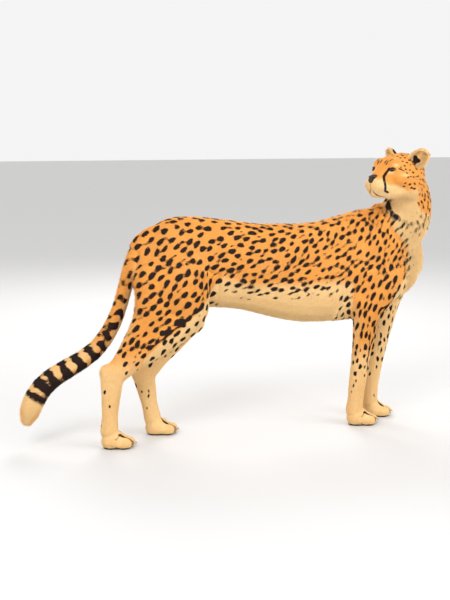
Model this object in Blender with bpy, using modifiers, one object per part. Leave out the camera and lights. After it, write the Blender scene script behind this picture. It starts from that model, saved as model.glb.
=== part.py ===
"""Standing cheetah, life size, looking back over its right side.

Metres, +Z up. The animal faces +X, its right side is -Y, and its paws stand on z = 0.
The flesh is modelled whole, as lofts and ellipsoids that melt together, and is then
parted with thin cuts into head, neck, trunk, tail and legs. All sizes run out to the
tips of the coat.
"""

import math

import bmesh
import bpy
from mathutils import Matrix, Vector

# ---------------------------------------------------------------- driving dimensions

GAP = 0.0006                    # width of the thin cuts between two parts
VOXEL = 0.005                   # grain at which the flesh melts together
BODY_FACES = 2960               # triangles of the whole flesh, before it is parted
HEAD_FACES = 980               # of the head alone
PAW_FACES = 250                 # of one paw
RIGHT, LEFT = -1, 1             # sign of Y on each side of the animal

# Trunk, from rump to breast: x, z of the middle, half width, half height.
TRUNK = [
    (-0.395, 0.655, 0.054, 0.086),
    (-0.350, 0.647, 0.080, 0.133),
    (-0.280, 0.643, 0.090, 0.155),
    (-0.190, 0.632, 0.080, 0.160),
    (-0.095, 0.617, 0.074, 0.162),
    (0.000, 0.602, 0.077, 0.164),
    (0.100, 0.586, 0.086, 0.176),
    (0.200, 0.573, 0.094, 0.187),
    (0.300, 0.575, 0.098, 0.194),
    (0.400, 0.590, 0.096, 0.202),
    (0.490, 0.612, 0.091, 0.200),
    (0.570, 0.622, 0.083, 0.180),
    (0.630, 0.622, 0.070, 0.140),
    (0.668, 0.625, 0.046, 0.085),
]

# Neck, from between the shoulders up to the skull: x, y, z, half across, half deep.
NECK = [
    (0.500, 0.000, 0.660, 0.090, 0.135),
    (0.565, 0.000, 0.720, 0.086, 0.128),
    (0.612, -0.010, 0.785, 0.076, 0.112),
    (0.617, -0.026, 0.845, 0.068, 0.094),
    (0.592, -0.044, 0.900, 0.062, 0.080),
    (0.566, -0.056, 0.940, 0.056, 0.066),
]

# Tail, from its root on the rump to its tip: x, y, z, radius.
TAIL = [
    (-0.350, 0.000, 0.738, 0.034),
    (-0.400, 0.000, 0.706, 0.035),
    (-0.432, 0.000, 0.650, 0.033),
    (-0.453, 0.002, 0.590, 0.031),
    (-0.478, 0.004, 0.500, 0.030),
    (-0.504, 0.006, 0.430, 0.032),
    (-0.538, 0.006, 0.372, 0.034),
    (-0.583, 0.006, 0.322, 0.036),
    (-0.650, 0.004, 0.280, 0.038),
    (-0.712, 0.002, 0.248, 0.040),
    (-0.762, 0.000, 0.210, 0.042),
    (-0.796, 0.000, 0.162, 0.043),
    (-0.814, 0.000, 0.116, 0.039),
    (-0.822, 0.000, 0.090, 0.028),
]
TAIL_CUTS = (5, 8)              # the tail is parted at these stations

# Joints of the hind legs: hip, knee, hock, ankle above the paw. y is taken outwards.
HIND_JOINTS = {
    "right": ((-0.315, 0.060, 0.620), (-0.232, 0.082, 0.448),
              (-0.532, 0.082, 0.252), (-0.547, 0.080, 0.045)),
    "left": ((-0.315, 0.060, 0.620), (-0.202, 0.074, 0.432),
             (-0.392, 0.052, 0.216), (-0.360, 0.046, 0.045)),
}
# Half across and half deep at five places down thigh, shank and metatarsus.
THIGH_GIRTH = [(0.050, 0.118), (0.054, 0.122), (0.052, 0.110), (0.047, 0.088), (0.040, 0.062)]
# Back of the thigh, from the seat down to the hock: how far along, how far ahead of the
# straight line, half across, half deep.
HAMSTRING = [(0.00, 0.000, 0.040, 0.062), (0.20, 0.046, 0.044, 0.074), (0.36, 0.070, 0.044, 0.078),
             (0.55, 0.066, 0.038, 0.066), (0.76, 0.034, 0.030, 0.046), (0.94, 0.006, 0.024, 0.032)]
SEAT = (-0.074, -0.012)         # from the hip to the seat bone, forward and up
SHANK_GIRTH = [(0.040, 0.060), (0.038, 0.064), (0.034, 0.056), (0.028, 0.046), (0.027, 0.046)]
HOCK_GIRTH = [(0.027, 0.046), (0.026, 0.040), (0.025, 0.034), (0.025, 0.031), (0.027, 0.032)]

# Joints of the forelegs: top of the blade, shoulder, elbow, wrist, ankle above the paw.
FORE_JOINTS = {
    "right": ((0.460, 0.050, 0.735), (0.540, 0.066, 0.560), (0.436, 0.078, 0.440),
              (0.410, 0.060, 0.150), (0.404, 0.050, 0.040)),
    "left": ((0.486, 0.050, 0.735), (0.602, 0.062, 0.560), (0.582, 0.068, 0.430),
             (0.520, 0.052, 0.150), (0.509, 0.046, 0.040)),
}
BLADE_GIRTH = [(0.036, 0.070), (0.044, 0.084), (0.048, 0.088), (0.048, 0.084), (0.046, 0.076)]
UPPER_ARM_GIRTH = [(0.046, 0.076), (0.048, 0.080), (0.046, 0.074), (0.043, 0.066), (0.040, 0.058)]
FOREARM_GIRTH = [(0.040, 0.058), (0.036, 0.049), (0.032, 0.042), (0.029, 0.037), (0.029, 0.035)]
WRIST_GIRTH = [(0.029, 0.035), (0.027, 0.033), (0.026, 0.032), (0.026, 0.032), (0.028, 0.033)]

# Paw, ahead of the ankle: palm, and four toes as forward, sideways, reach.
SOLE = -0.012                   # height of the soles while the flesh is shaped
PALM = ((0.016, 0.0, 0.026), (0.046, 0.035, 0.040))
TOES = [(0.049, -0.0310, 0.028), (0.064, -0.0108, 0.031), (0.064, 0.0108, 0.031), (0.049, 0.0310, 0.028)]
TOE_HALF_WIDTH = 0.0132
TOE_HALF_HEIGHT = 0.0205
CLAW_LENGTH = 0.015
CLAW_RADIUS = 0.0032
CLAW_DROOP = 38.0               # degrees below level
DEW_CLAW = (0.010, -0.028, 0.088)       # from under the wrist: forward, inwards, up

# Head: its middle, how far it is turned to the right and tipped up, in degrees.
HEAD_CENTRE = Vector((0.551, -0.070, 0.940))
HEAD_TURN = -157.0
HEAD_LIFT = 4.0
HEAD_SCALE = 1.13
# Rounds of the head, on its own axes (forward, left, up): centre and radii.
SKULL_ROUNDS = [
    ((0.118, 0.000, -0.021), (0.019, 0.0175, 0.016)),      # nose
    ((0.102, 0.000, -0.064), (0.021, 0.020, 0.016)),       # chin
]
PAIRED_ROUNDS = [
    ((0.050, 0.027, 0.031), (0.030, 0.023, 0.017)),        # brow
    ((0.020, 0.036, -0.014), (0.056, 0.033, 0.034)),       # cheekbone
    ((-0.026, 0.036, -0.042), (0.058, 0.034, 0.042)),      # jowl
    ((0.056, 0.025, -0.044), (0.042, 0.021, 0.026)),       # lip
    ((0.095, 0.0165, -0.042), (0.033, 0.024, 0.024)),      # whisker pad
]
# Lofts of the head: forward, up, half width, half height.
SKULL = [(-0.078, 0.004, 0.046, 0.052), (-0.050, 0.004, 0.058, 0.066), (-0.015, 0.000, 0.062, 0.072),
         (0.018, -0.003, 0.059, 0.068), (0.044, -0.010, 0.051, 0.060), (0.068, -0.019, 0.040, 0.048),
         (0.092, -0.028, 0.031, 0.037), (0.114, -0.034, 0.024, 0.029)]
LOWER_JAW = [(-0.040, -0.046, 0.055, 0.036), (0.010, -0.056, 0.050, 0.028), (0.060, -0.063, 0.038, 0.020),
             (0.100, -0.066, 0.024, 0.015)]
EYE_CENTRE = (0.0620, 0.0330, 0.0100)
EYE_RADIUS = 0.0155
EAR_CENTRE = (-0.030, 0.053, 0.048)
EAR_OUTER = (0.018, 0.032, 0.040)       # thickness, half width, half height
EAR_HOLLOW = (0.017, 0.026, 0.034)
EAR_HOLLOW_CENTRE = (0.013, 0.0, 0.002)
EAR_SPREAD = 34.0                       # lean away from the crown, in degrees
EAR_FACING = 34.0                       # turn of the opening away from straight ahead
NOSE_LEATHER = (0.1215, 0.0185, -0.033, -0.006)     # back, half width, lower and upper limit

COLOURS = {
    "coat": (0.86, 0.46, 0.14, 1.0),
    "pale": (0.90, 0.66, 0.38, 1.0),
    "dark": (0.030, 0.012, 0.008, 1.0),
    "eye": (0.33, 0.15, 0.03, 1.0),
    "horn": (0.10, 0.07, 0.05, 1.0),
}


# ---------------------------------------------------------------- scene and objects

for old in list(bpy.data.objects):
    bpy.data.objects.remove(old, do_unlink=True)

PARTS = bpy.data.collections.new("cheetah")
WORKSHOP = bpy.data.collections.new("workshop")
bpy.context.scene.collection.children.link(PARTS)
bpy.context.scene.collection.children.link(WORKSHOP)


def add_object(name, mesh_edit, collection=WORKSHOP):
    """A new object that holds the mesh being edited."""
    mesh = bpy.data.meshes.new(name)
    mesh_edit.to_mesh(mesh)
    mesh_edit.free()
    obj = bpy.data.objects.new(name, mesh)
    collection.objects.link(obj)
    return obj


def copy_mesh(obj):
    """The object's mesh, opened for editing."""
    mesh_edit = bmesh.new()
    mesh_edit.from_mesh(obj.data)
    return mesh_edit


def discard(obj):
    bpy.data.objects.remove(obj, do_unlink=True)


def bake_modifiers(obj):
    """Keeps what the modifiers made and drops the modifiers."""
    graph = bpy.context.evaluated_depsgraph_get()
    mesh = bpy.data.meshes.new_from_object(obj.evaluated_get(graph))
    obj.modifiers.clear()
    obj.data = mesh


def boolean(obj, other, operation):
    cut = obj.modifiers.new(operation.title(), "BOOLEAN")
    cut.operation = operation
    cut.object = other
    bake_modifiers(obj)


def material(name, colour, roughness):
    made = bpy.data.materials.new(name)
    made.use_nodes = True
    shader = made.node_tree.nodes["Principled BSDF"]
    shader.inputs["Base Color"].default_value = colour
    shader.inputs["Roughness"].default_value = roughness
    shader.inputs["Metallic"].default_value = 0.0
    made.diffuse_color = colour
    return made


def finish(obj, name, colour, roughness=0.8):
    """Names a finished part, gives it its own material and puts it on show."""
    tidy = copy_mesh(obj)
    bmesh.ops.triangulate(tidy, faces=tidy.faces)
    bmesh.ops.dissolve_degenerate(tidy, dist=0.00005, edges=tidy.edges)
    bmesh.ops.triangulate(tidy, faces=tidy.faces)
    bmesh.ops.recalc_face_normals(tidy, faces=tidy.faces)
    tidy.to_mesh(obj.data)
    tidy.free()
    obj.name = name
    obj.data.name = name
    obj.data.materials.clear()
    obj.data.materials.append(material(name, COLOURS[colour], roughness))
    obj.data.shade_smooth()
    for home in list(obj.users_collection):
        home.objects.unlink(obj)
    PARTS.objects.link(obj)
    return obj


# ---------------------------------------------------------------- shapes

def blend_stations(stations, steps):
    """A smooth run through the stations: a cubic between each two, in all their numbers."""
    run = []
    count = len(stations)
    for index in range(count - 1):
        before = stations[max(index - 1, 0)]
        start = stations[index]
        end = stations[index + 1]
        after = stations[min(index + 2, count - 1)]
        for step in range(steps):
            t = step / steps
            row = []
            for a, b, c, d in zip(before, start, end, after):
                pull = (2 * b + (c - a) * t + (2 * a - 5 * b + 4 * c - d) * t ** 2
                        + (3 * b - a - 3 * c + d) * t ** 3)
                row.append(pull / 2)
            run.append(row)
    run.append(list(stations[-1]))
    return run


def loft(stations, sides=20, boxy=2.2, steps=4, across=Vector((0, 1, 0)), place=Matrix()):
    """A closed body through x, y, z, half across, half deep, with rounded ends."""
    run = blend_stations(stations, steps)
    centres = [Vector(row[:3]) for row in run]
    rings = []
    for index, row in enumerate(run):
        along = centres[min(index + 1, len(run) - 1)] - centres[max(index - 1, 0)]
        along.normalize()
        side = (across - along * across.dot(along)).normalized()
        rings.append((centres[index], side, along.cross(side), row[3], row[4]))
    for end, inward in ((0, 1), (-1, -1)):
        centre, side, up, half_side, half_up = rings[end]
        outward = (centre - rings[end + inward][0]).normalized()
        depth = min(half_side, half_up) * 0.8
        for turn in (35, 65, 84):
            shrink = math.cos(math.radians(turn))
            moved = centre + outward * depth * math.sin(math.radians(turn))
            ring = (moved, side, up, half_side * shrink, half_up * shrink)
            rings.insert(0 if end == 0 else len(rings), ring)
    body = bmesh.new()
    loops = []
    for centre, side, up, half_side, half_up in rings:
        loop = []
        for corner in range(sides):
            angle = 2 * math.pi * corner / sides
            c, s = math.cos(angle), math.sin(angle)
            out = math.copysign(abs(c) ** (2 / boxy), c) * half_side
            rise = math.copysign(abs(s) ** (2 / boxy), s) * half_up
            loop.append(body.verts.new(place @ (centre + side * out + up * rise)))
        loops.append(loop)
    for low, high in zip(loops, loops[1:]):
        for corner in range(sides):
            after = (corner + 1) % sides
            body.faces.new((low[corner], low[after], high[after], high[corner]))
    body.faces.new(list(reversed(loops[0])))
    body.faces.new(loops[-1])
    bmesh.ops.recalc_face_normals(body, faces=body.faces)
    return add_object("loft", body)


def ellipsoid(centre, radii, place=Matrix(), rings=12, segments=18):
    body = bmesh.new()
    shape = place @ Matrix.Translation(centre) @ Matrix.Diagonal((*radii, 1))
    bmesh.ops.create_uvsphere(body, u_segments=segments, v_segments=rings, radius=1, matrix=shape)
    bmesh.ops.recalc_face_normals(body, faces=body.faces)
    return add_object("ellipsoid", body)


def melt(pieces, voxel, softness, smoothing):
    """Joins overlapping pieces into one skin and softens its creases, most where softness is 1."""
    whole = bmesh.new()
    for piece in pieces:
        whole.from_mesh(piece.data)
        discard(piece)
    obj = add_object("flesh", whole)
    remesh = obj.modifiers.new("Remesh", "REMESH")
    remesh.mode = "VOXEL"
    remesh.voxel_size = voxel
    bake_modifiers(obj)
    group = obj.vertex_groups.new(name="soft")
    for vertex in obj.data.vertices:
        group.add([vertex.index], softness(vertex.co), "REPLACE")
    soften = obj.modifiers.new("Soften", "SMOOTH")
    soften.factor = 0.5
    soften.iterations = smoothing
    soften.vertex_group = group.name
    bake_modifiers(obj)
    obj.vertex_groups.clear()
    return obj


def thin(obj, faces):
    """Fewer triangles, with the shape kept."""
    edit = copy_mesh(obj)
    bmesh.ops.triangulate(edit, faces=edit.faces)
    edit.to_mesh(obj.data)
    count = len(edit.faces)
    edit.free()
    decimate = obj.modifiers.new("Decimate", "DECIMATE")
    decimate.ratio = min(1.0, faces / count)
    bake_modifiers(obj)
    return obj


# ---------------------------------------------------------------- cuts

def plane(point, normal):
    return (Vector(point), Vector(normal).normalized())


def slice_off(edit, cut, shift):
    """Removes what lies behind the plane, moved along its normal, and closes the cut."""
    point, normal = cut
    everything = edit.verts[:] + edit.edges[:] + edit.faces[:]
    bmesh.ops.bisect_plane(edit, geom=everything, dist=0.0000001, plane_co=point + normal * shift,
                           plane_no=normal, clear_inner=True)
    rim = [edge for edge in edit.edges if edge.is_boundary]
    if rim:
        bmesh.ops.triangle_fill(edit, edges=rim, normal=-normal, use_beauty=True)


def keep_between(source, cuts):
    """A copy of the source with only what lies in front of every plane."""
    edit = copy_mesh(source)
    for cut in cuts:
        slice_off(edit, cut, GAP / 2)
    return add_object("piece", edit)


def region(cuts):
    """The solid that the planes enclose, a gap larger than the piece it stands for."""
    edit = bmesh.new()
    bmesh.ops.create_cube(edit, size=4)
    for cut in cuts:
        slice_off(edit, cut, -GAP / 2)
    bmesh.ops.recalc_face_normals(edit, faces=edit.faces)
    solid = add_object("region", edit)
    solid.hide_render = True
    solid.display_type = "WIRE"
    return solid


def flip(cut):
    """The same plane, keeping its other side."""
    point, normal = cut
    return (point, -normal)


def carve(obj, cuts):
    """Takes the region between the planes out of the object."""
    solid = region(cuts)
    boolean(obj, solid, "DIFFERENCE")
    discard(solid)


# ---------------------------------------------------------------- limbs

def limb_path(start, end, girths, side):
    """Stations spread evenly from joint to joint."""
    last = len(girths) - 1
    path = []
    for index, (across, deep) in enumerate(girths):
        spot = [a + (b - a) * index / last for a, b in zip(start, end)]
        path.append((spot[0], spot[1] * side, spot[2], across, deep))
    return path


def paw_pieces(ankle, side):
    """Palm and four toes ahead of the ankle, on the ground."""
    base = Vector((ankle[0], ankle[1] * side, SOLE))
    palm_centre, palm_radii = PALM
    pieces = [ellipsoid(base + Vector(palm_centre), palm_radii)]
    for forward, sideways, reach in TOES:
        spot = base + Vector((forward, sideways, TOE_HALF_HEIGHT - 0.002))
        pieces.append(ellipsoid(spot, (reach, TOE_HALF_WIDTH, TOE_HALF_HEIGHT)))
    return pieces


def hind_leg(joints, side):
    hip, knee, hock, ankle = joints
    pieces = [loft(limb_path(hip, knee, THIGH_GIRTH, side)),
              loft(limb_path(knee, hock, SHANK_GIRTH, side)),
              loft(limb_path(hock, ankle, HOCK_GIRTH, side))]
    heel = (hock[0] - 0.018, hock[1] * side, hock[2] + 0.012)
    pieces.append(ellipsoid(heel, (0.034, 0.022, 0.034)))
    seat = Vector((hip[0] + SEAT[0], hip[1], hip[2] + SEAT[1]))
    path = []
    for along, ahead, across, deep in HAMSTRING:
        spot = seat.lerp(Vector(hock), along)
        path.append((spot.x + ahead, spot.y * side, spot.z, across, deep))
    pieces.append(loft(path))
    return pieces + paw_pieces(ankle, side)


def fore_leg(joints, side):
    blade, shoulder, elbow, wrist, ankle = joints
    pieces = [loft(limb_path(blade, shoulder, BLADE_GIRTH, side)),
              loft(limb_path(shoulder, elbow, UPPER_ARM_GIRTH, side)),
              loft(limb_path(elbow, wrist, FOREARM_GIRTH, side)),
              loft(limb_path(wrist, ankle, WRIST_GIRTH, side))]
    point = (elbow[0] - 0.036, elbow[1] * side, elbow[2] + 0.022)
    pieces.append(ellipsoid(point, (0.036, 0.030, 0.044)))
    return pieces + paw_pieces(ankle, side)


# ---------------------------------------------------------------- head

HEAD_PLACE = (Matrix.Translation(HEAD_CENTRE) @ Matrix.Rotation(math.radians(HEAD_TURN), 4, "Z")
              @ Matrix.Rotation(math.radians(-HEAD_LIFT), 4, "Y") @ Matrix.Scale(HEAD_SCALE, 4))


def mirrored(centre, side):
    return (centre[0], centre[1] * side, centre[2])


def head_pieces():
    pieces = [ellipsoid(centre, radii, HEAD_PLACE) for centre, radii in SKULL_ROUNDS]
    for centre, radii in PAIRED_ROUNDS:
        for side in (RIGHT, LEFT):
            pieces.append(ellipsoid(mirrored(centre, side), radii, HEAD_PLACE))
    for profile in (SKULL, LOWER_JAW):
        path = [(x, 0, z, half_width, half_height) for x, z, half_width, half_height in profile]
        pieces.append(loft(path, boxy=2.1, place=HEAD_PLACE))
    return pieces


def on_head(local):
    return HEAD_PLACE @ Vector(local)


def head_direction(local):
    return (HEAD_PLACE.to_3x3() @ Vector(local)).normalized()


def ear_place(side):
    lean = Matrix.Rotation(math.radians(-EAR_SPREAD * side), 4, "X")
    turn = Matrix.Rotation(math.radians(EAR_FACING * side), 4, "Z")
    return HEAD_PLACE @ Matrix.Translation(mirrored(EAR_CENTRE, side)) @ lean @ turn


def ear_leaf(side, wider):
    """The flattened ball that an ear is pressed from."""
    radii = [radius + wider for radius in EAR_OUTER]
    return ellipsoid((0, 0, 0), radii, ear_place(side), rings=9, segments=14)


def ear(side):
    """A cupped leaf: a flattened ball with a hollow pressed into its front."""
    leaf = ear_leaf(side, 0)
    hollow = ellipsoid(EAR_HOLLOW_CENTRE, EAR_HOLLOW, ear_place(side), rings=8, segments=12)
    boolean(leaf, hollow, "DIFFERENCE")
    discard(hollow)
    return leaf


# ---------------------------------------------------------------- the flesh, whole

flesh_pieces = [loft([(x, 0, z, w, h) for x, z, w, h in TRUNK], boxy=2.3), loft(NECK, boxy=2.1)]
for name, side in (("right", RIGHT), ("left", LEFT)):
    flesh_pieces += hind_leg(HIND_JOINTS[name], side)
    flesh_pieces += fore_leg(FORE_JOINTS[name], side)
flesh_pieces += head_pieces()


def softness(point):
    """Muscles flow into each other; paws and face keep their small forms."""
    if point.z < 0.10:
        return 0.12
    if (point - HEAD_CENTRE).length < 0.135 * HEAD_SCALE:
        return 0.42
    return min(1.0, 0.12 + (point.z - 0.10) * 4)


flesh = melt(flesh_pieces, VOXEL, softness, smoothing=36)


def whole_tail(wider):
    path = [(x, y, z, radius + wider, radius + wider) for x, y, z, radius in TAIL]
    return loft(path, sides=12, boxy=2.0, steps=2)


# ---------------------------------------------------------------- where it is parted

FLOOR = plane((0, 0, SOLE - GAP / 2), (0, 0, 1))
NECK_BASE = plane((0.600, 0, 0.735), (0.45, 0, 0.89))
SKULL_BASE = plane((0.612, -0.04, 0.893), (-0.50, -0.12, 0.86))


def tail_cut(index):
    """The plane across the tail at one of its stations, facing the root."""
    here = Vector(TAIL[index][:3])
    return plane(here, Vector(TAIL[index - 1][:3]) - Vector(TAIL[index + 1][:3]))


def across_limb(joints, side, first, second, along):
    """The plane across a limb between two of its joints, facing the trunk."""
    start = Vector(mirrored(joints[first], side))
    end = Vector(mirrored(joints[second], side))
    return plane(start.lerp(end, along), start - end)


def leg_region(side, crotch, hip, back, front):
    """Planes round one leg: crotch and hip are y, z of the slanted cut; back, front are x."""
    rise = hip[1] - crotch[1]
    run = hip[0] - crotch[0]
    slanted = plane((0, crotch[0] * side, crotch[1]), (0, rise * side, -run))
    middle = plane((0, 0, 0), (0, side, 0))
    return [slanted, middle, plane((back, 0, 0), (1, 0, 0)), plane((front, 0, 0), (-1, 0, 0))]


LEGS = {
    "right_hind": (RIGHT, HIND_JOINTS["right"], (0.012, 0.450), (0.118, 0.700), -0.640, -0.140),
    "left_hind": (LEFT, HIND_JOINTS["left"], (0.012, 0.450), (0.118, 0.700), -0.640, -0.112),
    "right_fore": (RIGHT, FORE_JOINTS["right"], (0.012, 0.405), (0.120, 0.650), 0.325, 0.600),
    "left_fore": (LEFT, FORE_JOINTS["left"], (0.012, 0.405), (0.120, 0.650), 0.436, 0.682),
}
# Where a limb is cut: between which joints, and how far along.
PAW_CUT = {"hind": (2, 3, 0.60), "fore": (3, 4, 0.40)}
ELBOW_CUT = (2, 3, 0.25)
KNEE_DROP = 0.035               # the knee is cut this far below the joint
HIND_NAMES = ("thigh", "shank", "paw")
FORE_NAMES = ("upper_arm", "forearm", "paw")

MARGIN = 0.02                   # a fine piece is thinned with this much more round it


def fine_piece(cuts, faces):
    """A piece with smaller facets than the trunk's, for the head and the paws."""
    rough = keep_between(fine, [(point - normal * MARGIN, normal) for point, normal in cuts])
    thin(rough, faces)
    piece = keep_between(rough, cuts)
    discard(rough)
    return piece


# ---------------------------------------------------------------- head and neck

fine = add_object("fine flesh", copy_mesh(flesh))
coarse = thin(flesh, BODY_FACES)

head = fine_piece([NECK_BASE, SKULL_BASE], HEAD_FACES)
finish(keep_between(coarse, [NECK_BASE, flip(SKULL_BASE)]), "neck", "coat")


def nose_cuts():
    back, half_width, low, high = NOSE_LEATHER
    cuts = [plane(on_head((back, 0, low)), head_direction((1, 0, 0.30))),
            plane(on_head((back, 0, low)), head_direction((0.30, 0, 1))),
            plane(on_head((back, 0, high)), head_direction((0.20, 0, -1)))]
    for side in (RIGHT, LEFT):
        cuts.append(plane(on_head((back, half_width * side, high)), head_direction((0, -side, 0.45))))
    return cuts


nose = keep_between(head, nose_cuts())
carve(head, nose_cuts())
finish(nose, "nose", "dark", roughness=0.45)

for side, side_name in ((RIGHT, "right"), (LEFT, "left")):
    centre = mirrored(EYE_CENTRE, side)
    socket = ellipsoid(centre, [EYE_RADIUS + GAP / HEAD_SCALE] * 3, HEAD_PLACE, rings=10, segments=14)
    boolean(head, socket, "DIFFERENCE")
    discard(socket)
    ball = ellipsoid(centre, [EYE_RADIUS] * 3, HEAD_PLACE, rings=10, segments=14)
    finish(ball, "eye_" + side_name, "eye", roughness=0.1)
    room = ear_leaf(side, GAP)
    boolean(head, room, "DIFFERENCE")
    discard(room)
    finish(ear(side), "ear_" + side_name, "coat")
finish(head, "head", "coat")


# ---------------------------------------------------------------- tail

tail = whole_tail(0)
tail_room = whole_tail(GAP)
upper_cut, lower_cut = [tail_cut(index) for index in TAIL_CUTS]
finish(keep_between(tail, [upper_cut]), "tail_root", "coat")
finish(keep_between(tail, [flip(upper_cut), lower_cut]), "tail_middle", "coat")
finish(keep_between(tail, [flip(lower_cut)]), "tail_tip", "pale")
discard(tail)


# ---------------------------------------------------------------- legs

def claw(spot, wider):
    """A small cone from its root, pointing ahead and down."""
    body = bmesh.new()
    turned = Matrix.Translation(spot) @ Matrix.Rotation(math.radians(90 + CLAW_DROOP), 4, "Y")
    shape = turned @ Matrix.Translation((0, 0, CLAW_LENGTH / 2))
    bmesh.ops.create_cone(body, cap_ends=True, segments=6, radius1=CLAW_RADIUS + wider,
                          radius2=0.0006 + wider, depth=CLAW_LENGTH + 2 * wider, matrix=shape)
    return add_object("claw", body)


def claw_spots(ankle, side):
    """Where the claws of one paw leave the toes, inner toe last."""
    spots = []
    for forward, sideways, reach in TOES:
        spots.append(Vector((ankle[0] + forward + reach * 0.72, ankle[1] * side + sideways,
                             SOLE + TOE_HALF_HEIGHT * 1.05)))
    return spots


def fit_claws(paw, spots, name):
    """Makes the claws of a paw and the holes that they sit in."""
    for number, spot in enumerate(spots, start=1):
        room = claw(spot, GAP)
        boolean(paw, room, "DIFFERENCE")
        discard(room)
        finish(claw(spot, 0), "%s_claw_%d" % (name, number), "horn", roughness=0.4)


for name, (side, joints, crotch, hip, back, front) in LEGS.items():
    hind = name.endswith("hind")
    names = HIND_NAMES if hind else FORE_NAMES
    around = leg_region(side, crotch, hip, back, front)
    if hind:
        knee = Vector(mirrored(joints[1], side))
        upper = plane(knee - Vector((0, 0, KNEE_DROP)), (-0.25, 0, 1))
        lower = across_limb(joints, side, *PAW_CUT["hind"])
    else:
        upper = across_limb(joints, side, *ELBOW_CUT)
        lower = across_limb(joints, side, *PAW_CUT["fore"])
    top = keep_between(coarse, around + [upper])
    if hind:
        boolean(top, tail_room, "DIFFERENCE")
    finish(top, name + "_" + names[0], "coat")
    finish(keep_between(coarse, around + [flip(upper), lower]), name + "_" + names[1], "coat")
    paw = fine_piece(around + [flip(lower), FLOOR], PAW_FACES)
    spots = claw_spots(joints[-1], side)
    if not hind:
        forward, inwards, up = DEW_CLAW
        spots.append(Vector((joints[-1][0] + forward, (joints[-1][1] + inwards) * side, SOLE + up)))
    fit_claws(paw, spots, name)
    finish(paw, name + "_" + names[2], "pale")

# ---------------------------------------------------------------- trunk

trunk = add_object("trunk", copy_mesh(coarse))
carve(trunk, [NECK_BASE])
for side, joints, crotch, hip, back, front in LEGS.values():
    carve(trunk, leg_region(side, crotch, hip, back, front))
boolean(trunk, tail_room, "DIFFERENCE")
finish(trunk, "trunk", "coat")

for scrap in (fine, coarse, tail_room):
    discard(scrap)

# ---------------------------------------------------------------- place: soles on z = 0, box centred

corners = [vertex.co for obj in PARTS.objects for vertex in obj.data.vertices]
low = [min(corner[axis] for corner in corners) for axis in range(3)]
high = [max(corner[axis] for corner in corners) for axis in range(3)]
shift = Vector((-(low[0] + high[0]) / 2, -(low[1] + high[1]) / 2, -low[2]))
for obj in PARTS.objects:
    obj.data.transform(Matrix.Translation(shift))
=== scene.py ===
# %% [markdown]
# # A standing cheetah, life size
#
# The animal stands still and looks back over its right side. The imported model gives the
# flesh as plain solids, parted only to name them. Here they get one skin without seams,
# sculpted lids, nose, mouth and toes, and a short spotted coat made of small solid tufts.
# Everything is in metres, the animal faces +X, its left side is +Y, and +Z is up.

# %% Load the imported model
import math

import bmesh
import bpy
import numpy as np
from mathutils import Matrix, Vector


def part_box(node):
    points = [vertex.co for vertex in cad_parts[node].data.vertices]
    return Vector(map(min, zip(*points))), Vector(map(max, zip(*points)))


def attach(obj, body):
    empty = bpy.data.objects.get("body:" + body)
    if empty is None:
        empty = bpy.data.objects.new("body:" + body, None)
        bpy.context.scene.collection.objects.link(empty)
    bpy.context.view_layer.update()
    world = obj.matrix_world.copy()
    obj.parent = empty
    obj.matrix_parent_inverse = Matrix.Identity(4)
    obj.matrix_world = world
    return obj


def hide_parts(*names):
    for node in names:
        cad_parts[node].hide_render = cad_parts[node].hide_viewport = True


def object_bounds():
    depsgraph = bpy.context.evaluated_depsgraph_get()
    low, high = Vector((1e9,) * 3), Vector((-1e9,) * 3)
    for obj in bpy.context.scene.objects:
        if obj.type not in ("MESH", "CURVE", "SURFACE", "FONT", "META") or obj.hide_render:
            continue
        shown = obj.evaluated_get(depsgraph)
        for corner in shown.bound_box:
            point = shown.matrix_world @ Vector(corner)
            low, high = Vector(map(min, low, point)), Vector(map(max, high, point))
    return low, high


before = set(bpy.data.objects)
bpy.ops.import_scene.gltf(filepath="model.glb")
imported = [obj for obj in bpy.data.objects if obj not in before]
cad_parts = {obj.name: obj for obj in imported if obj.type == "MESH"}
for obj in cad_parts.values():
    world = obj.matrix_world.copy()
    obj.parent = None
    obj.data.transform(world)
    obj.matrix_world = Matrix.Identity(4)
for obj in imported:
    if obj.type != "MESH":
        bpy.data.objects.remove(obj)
cad_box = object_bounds()
print("solids:", len(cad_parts), "box:", [round(v, 3) for v in (*cad_box[0], *cad_box[1])])


# %% [markdown]
# ## Places on the animal
# The head is turned and tipped, so lids, nose and markings are described on the head's
# own axes: forward, left and up, in the size of the head before it is enlarged. The
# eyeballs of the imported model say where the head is. The middle lines of neck, trunk,
# tail and legs serve three ends: the coat lies along them, the markings follow them,
# and the skin is unwrapped round them.

# %% The head's own axes
HEAD_TURN, HEAD_LIFT, HEAD_SCALE = -157.0, 4.0, 1.13
EYE_CENTRE = Vector((0.062, 0.033, 0.010))
EYE_RADIUS = 0.0155 * HEAD_SCALE
SIDES = {"right": -1, "left": 1}


def middle_of(node):
    low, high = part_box(node)
    return (Vector(low) + Vector(high)) / 2


turned = (Matrix.Rotation(math.radians(HEAD_TURN), 4, "Z")
          @ Matrix.Rotation(math.radians(-HEAD_LIFT), 4, "Y") @ Matrix.Scale(HEAD_SCALE, 4))
between_eyes = (middle_of("eye_right") + middle_of("eye_left")) / 2
HEAD = Matrix.Translation(between_eyes - turned @ Vector((EYE_CENTRE.x, 0, EYE_CENTRE.z))) @ turned
HEAD_MIDDLE = Vector((0.551, -0.070, 0.940))        # on the lines below
SHIFT = HEAD.translation - HEAD_MIDDLE
print("from the lines to the frame:", [round(v, 4) for v in SHIFT])


# %% Middle lines of the body
def line(*points):
    """A middle line in the frame's place, from its first point to its last."""
    return np.array([Vector(point) + SHIFT for point in points])


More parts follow.
